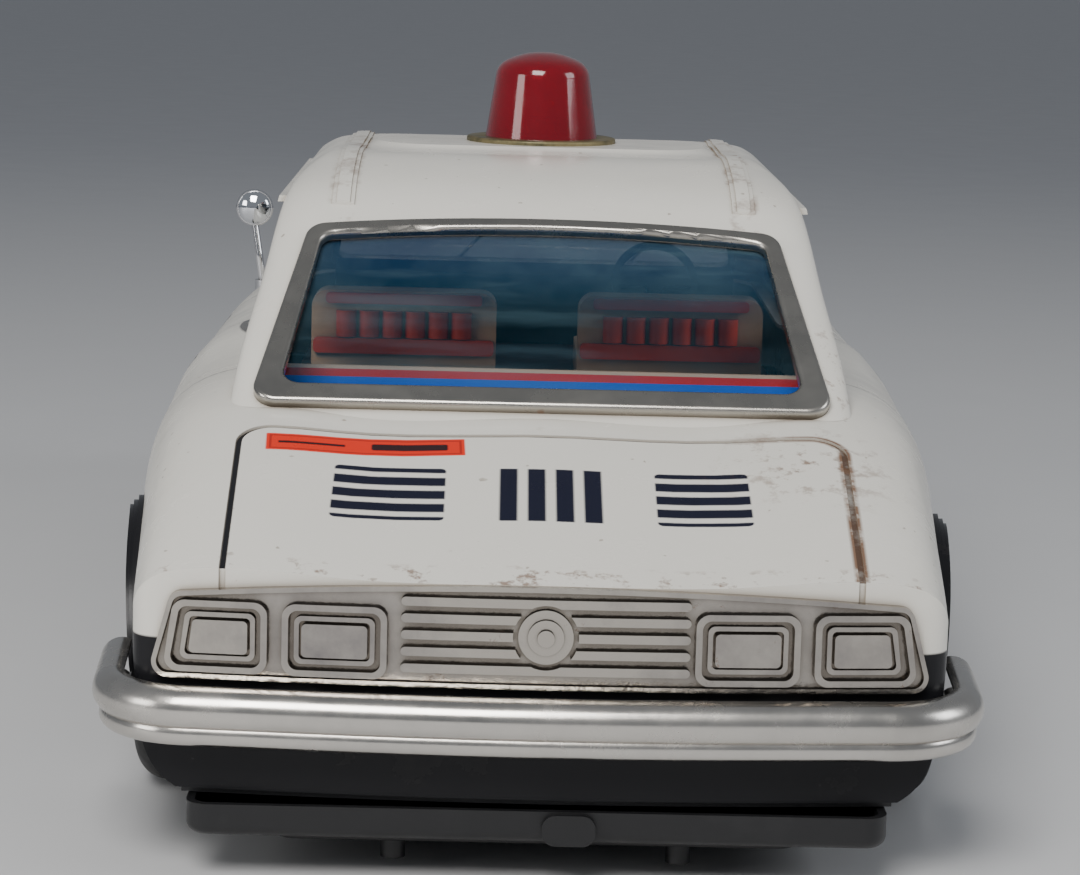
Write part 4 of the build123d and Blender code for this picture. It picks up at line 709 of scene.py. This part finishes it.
def shelfPrint():
    material, tree, shader, place = startMaterial("parcelShelfPrint")
    axes = addNode(tree, "ShaderNodeSeparateXYZ", {0: place}).outputs
    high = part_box("parcel_shelf")[1]
    cloud = grime(tree, place, 80.0, 0.5, 0.3)
    base = mixColour(
        tree, times(tree, cloud, 0.4), colour(0.62, 0.022, 0.018), colour(0.36, 0.014, 0.014),
    )
    blue = calc(tree, "LESS_THAN", axes[2], high.z - shelfBands["redEnds"])
    beige = calc(tree, "GREATER_THAN", axes[2], high.z - shelfBands["beigeEnds"])
    base = mixColour(tree, blue, base, colour(0.012, 0.14, 0.62))
    base = mixColour(tree, beige, base, colour(0.62, 0.46, 0.30))
    surface = unevenness(tree, place, 90.0, 0.28, 0.42)
    setShader(tree, shader, Base_Color=base, Roughness=surface["Roughness"])
    bumpFrom(tree, shader, surface["Height"], 0.1)
    return material


plated = nickel("platedTin", (0.50, 0.475, 0.43), low=0.20, high=0.36)
stamped = stampedTin()
bumperPlate = nickel("bumperPlate", (0.66, 0.63, 0.585), rustCover=0.26, low=0.17, high=0.32)
steel = nickel("bareSteel", (0.42, 0.41, 0.39), rustCover=0.34, low=0.34, high=0.55)
chromeSmall = nickel("brightPlate", (0.72, 0.72, 0.73), rustCover=0.12, low=0.05, high=0.14)
mirrorFace = nickel("mirrorFace", (0.80, 0.82, 0.85), rustCover=0.0, low=0.02, high=0.05)
blackPlastic = plastic("blackPlastic", (0.010, 0.010, 0.011), 0.34, 0.50, 260.0, 0.25)
darkTin = plastic("lacqueredPan", (0.020, 0.020, 0.022), 0.32, 0.5, 70.0, 0.12)
gearPlastic = plastic("gearPlastic", (0.62, 0.59, 0.50), 0.35, 0.5, 200.0, 0.1)
cellWrap = plastic("cellJacket", (0.05, 0.09, 0.16), 0.25, 0.4, 120.0, 0.05, coat=0.3)
brass = nickel("contactBrass", (0.62, 0.47, 0.20), rustCover=0.25)
windowSheet = tintedSheet()
seatTan = printedTin("seatTan", (0.78, 0.52, 0.32), (0.60, 0.36, 0.20))
seatRed = printedTin("seatRed", (0.90, 0.075, 0.022), (0.60, 0.028, 0.014))
cabinDark = printedTin("cabinDarkRed", (0.070, 0.010, 0.010), (0.035, 0.008, 0.009))
lensClear = clearGlass("clearLens", (0.86, 0.90, 0.92), 0.06)
bulbGlass = clearGlass("bulbGlass", (0.98, 0.92, 0.82))

finishes = {
    "body_shell": bodyPaint(), "cabin_shell": cabinPaint(),
    "rear_window": windowSheet, "windscreen": windowSheet, "side_windows": windowSheet,
    "rear_window_frame": plated, "windscreen_frame": plated,
    "tail_panel": stamped, "tail_lenses": stamped, "grille_panel": stamped,
    "rear_bumper": bumperPlate, "front_bumper": bumperPlate,
    "rear_hub_caps": chromeSmall, "front_hub_caps": chromeSmall,
    "fender_mirror": chromeSmall, "mirror_glass": mirrorFace,
    "headlamp_lenses": lensClear,
    "rear_tyre_left": tyreRubber("rearTyreRubber", rearAxle), "front_tyre_left": tyreRubber(
        "frontTyreRubber", frontAxle,
    ),
    "rear_rims": steel, "front_rims": steel,
    "chassis_pan": darkTin, "battery_tray": blackPlastic, "battery_cover": blackPlastic,
    "switch_knob": blackPlastic, "switch_box": blackPlastic, "steering_wheel": blackPlastic,
    "dashboard": blackPlastic, "lamp_holder": blackPlastic,
    "battery_cells": cellWrap, "battery_contacts": brass,
    "axle_gear": gearPlastic, "compound_gear": gearPlastic, "motor_pinion": gearPlastic,
    "seats": seatTan, "seat_pads": seatRed, "cabin_floor": cabinDark, "parcel_shelf": shelfPrint(),
    "lamp_dome": redDome(), "lamp_flange": tarnishedFlange(), "lamp_bulb": bulbGlass,
}
finishes["rear_tyre_right"] = finishes["rear_tyre_left"]
finishes["front_tyre_right"] = finishes["front_tyre_left"]

for name, node in cadNodes.items():
    chosenFinish = finishes.get(name, steel)
    for materialSlot in node.material_slots:
        materialSlot.material = chosenFinish
print("finishes assigned")


# small pieces that the solids leave out

def finishMesh(bm, name, material, body, smooth=True):
    bmesh.ops.remove_doubles(bm, verts=bm.verts, dist=1e-6)
    bmesh.ops.recalc_face_normals(bm, faces=bm.faces)
    mesh = bpy.data.meshes.new(name)
    bm.to_mesh(mesh)
    bm.free()
    for polygon in mesh.polygons:
        polygon.use_smooth = smooth
    mesh.materials.append(material)
    piece = bpy.data.objects.new(name, mesh)
    bpy.context.collection.objects.link(piece)
    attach(piece, body)
    return piece


wiper = {
    "arm": 0.036, "armTilt": 62.0, "blade": 0.040, "bladeTilt": 28.0, "bladeLift": 0.0008,
    "thick": 0.0009, "places": (-0.022, 0.026),
}


def makeWipers():
    low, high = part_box("windscreen_frame")
    slope = math.atan2(high.z - low.z, high.y - low.y)
    bm = bmesh.new()
    for x in wiper["places"]:
        rods = (
            (wiper["arm"], wiper["arm"] * 0.45, wiper["armTilt"], 0.0),
            (wiper["blade"], wiper["arm"] * 0.88, wiper["bladeTilt"], wiper["bladeLift"]),
        )
        for length, along, tilt, height in rods:
            made = bmesh.ops.create_cube(bm, size=1.0)["verts"]
            bmesh.ops.scale(bm, verts=made, vec=(length, wiper["thick"], wiper["thick"]))
            edges = list({e for v in made for e in v.link_edges})
            done = bmesh.ops.bevel(
                bm, geom=edges, offset=0.0003, segments=2, affect="EDGES", profile=0.5, material=-1,
            )
            verts = list({v for f in done["faces"] for v in f.verts} | {v for v in made if v.is_valid})
            turn = math.radians(tilt)
            bmesh.ops.rotate(bm, verts=verts, cent=(0, 0, 0), matrix=Matrix.Rotation(turn, 3, "Z"))
            armTurn = math.radians(wiper["armTilt"])
            lift = Vector((math.cos(armTurn) * along, math.sin(armTurn) * along, height))
            bmesh.ops.translate(bm, verts=verts, vec=lift)
            # the screen's plane leans back from its foot at the cowl
            bmesh.ops.rotate(bm, verts=verts, cent=(0, 0, 0), matrix=Matrix.Rotation(-slope, 3, "X"))
            bmesh.ops.scale(bm, verts=verts, vec=(1.0, -1.0, -1.0))
            bmesh.ops.translate(bm, verts=verts, vec=(x, high.y + 0.0012, low.z + 0.0030))
    return finishMesh(bm, "screenWipers", chromeSmall, "car")


makeWipers()
print("small pieces built")


# floor, lights and camera

stage = {
    "floorSize": 60.0,
    "near": colour(0.66, 0.66, 0.665), "far": colour(0.50, 0.505, 0.53),
    "fadeStart": 0.30, "fadeEnd": 1.9,
}

bm = bmesh.new()
bmesh.ops.create_grid(bm, x_segments=24, y_segments=24, size=stage["floorSize"] / 2)
floorMesh = bpy.data.meshes.new("floor")
bm.to_mesh(floorMesh)
bm.free()
floor = bpy.data.objects.new("floor", floorMesh)
bpy.context.collection.objects.link(floor)
material, tree, shader, place = startMaterial("paleFloor")
# painted pool of light: the floor is paler near the car and darker further off
away = addNode(tree, "ShaderNodeVectorMath", {0: place}, operation="LENGTH").outputs["Value"]
paintedFalloff = ramp(tree, away, stage["fadeStart"], stage["fadeEnd"])
base = mixColour(tree, paintedFalloff, stage["near"], stage["far"])
surface = unevenness(tree, place, 30.0, 0.5, 0.62)
setShader(tree, shader, Base_Color=base, Roughness=surface["Roughness"])
floorMesh.materials.append(material)

world = bpy.data.worlds.new("studio")
bpy.context.scene.world = world
world.use_nodes = True
world.node_tree.nodes["Background"].inputs["Color"].default_value = colour(0.72, 0.76, 0.82)
world.node_tree.nodes["Background"].inputs["Strength"].default_value = 0.30

lights = [
    ("aboveCamera", (-0.25, -1.00, 0.95), (0.0, -0.05, 0.06), 0.60, 14.5, (1.0, 0.985, 0.96)),
    ("lowLeft", (-1.00, -0.70, 0.40), (0.0, -0.05, 0.06), 0.40, 2.6, (1.0, 0.99, 0.97)),
    ("rightFill", (1.00, -0.30, 0.55), (0.0, 0.0, 0.06), 0.45, 3.2, (0.93, 0.96, 1.0)),
]
for name, spot, target, size, power, tone in lights:
    data = bpy.data.lights.new(name, "AREA")
    data.shape = "SQUARE"
    data.size = size
    data.energy = power
    data.color = tone
    lamp = bpy.data.objects.new(name, data)
    lamp.location = spot
    lamp.rotation_euler = (Vector(target) - Vector(spot)).to_track_quat("-Z", "Y").to_euler()
    bpy.context.collection.objects.link(lamp)

cameraView = {
    "place": (-0.009704, -0.787334, 0.181597),
    "yaw": 0.0144, "pitch": 0.16186, "roll": 0.0264,
    "focalLength": 3182.5 / 1080.0 * 36.0,
}


def placeCamera():
    yaw, pitch, roll = cameraView["yaw"], cameraView["pitch"], cameraView["roll"]
    ahead = Vector((math.sin(yaw) * math.cos(pitch), math.cos(yaw) * math.cos(pitch), -math.sin(pitch)))
    right = Vector((math.cos(yaw), -math.sin(yaw), 0.0))
    up = right.cross(ahead)
    turnedRight = right * math.cos(roll) + up * math.sin(roll)
    turnedUp = up * math.cos(roll) - right * math.sin(roll)
    data = bpy.data.cameras.new("camera")
    data.sensor_width = 36.0
    data.lens = cameraView["focalLength"]
    data.clip_start = 0.02
    data.clip_end = 120.0
    camera = bpy.data.objects.new("camera", data)
    axes = Matrix((turnedRight, turnedUp, -ahead)).transposed()
    camera.matrix_world = Matrix.Translation(cameraView["place"]) @ axes.to_4x4()
    bpy.context.collection.objects.link(camera)
    bpy.context.scene.camera = camera


placeCamera()
print("stage set")
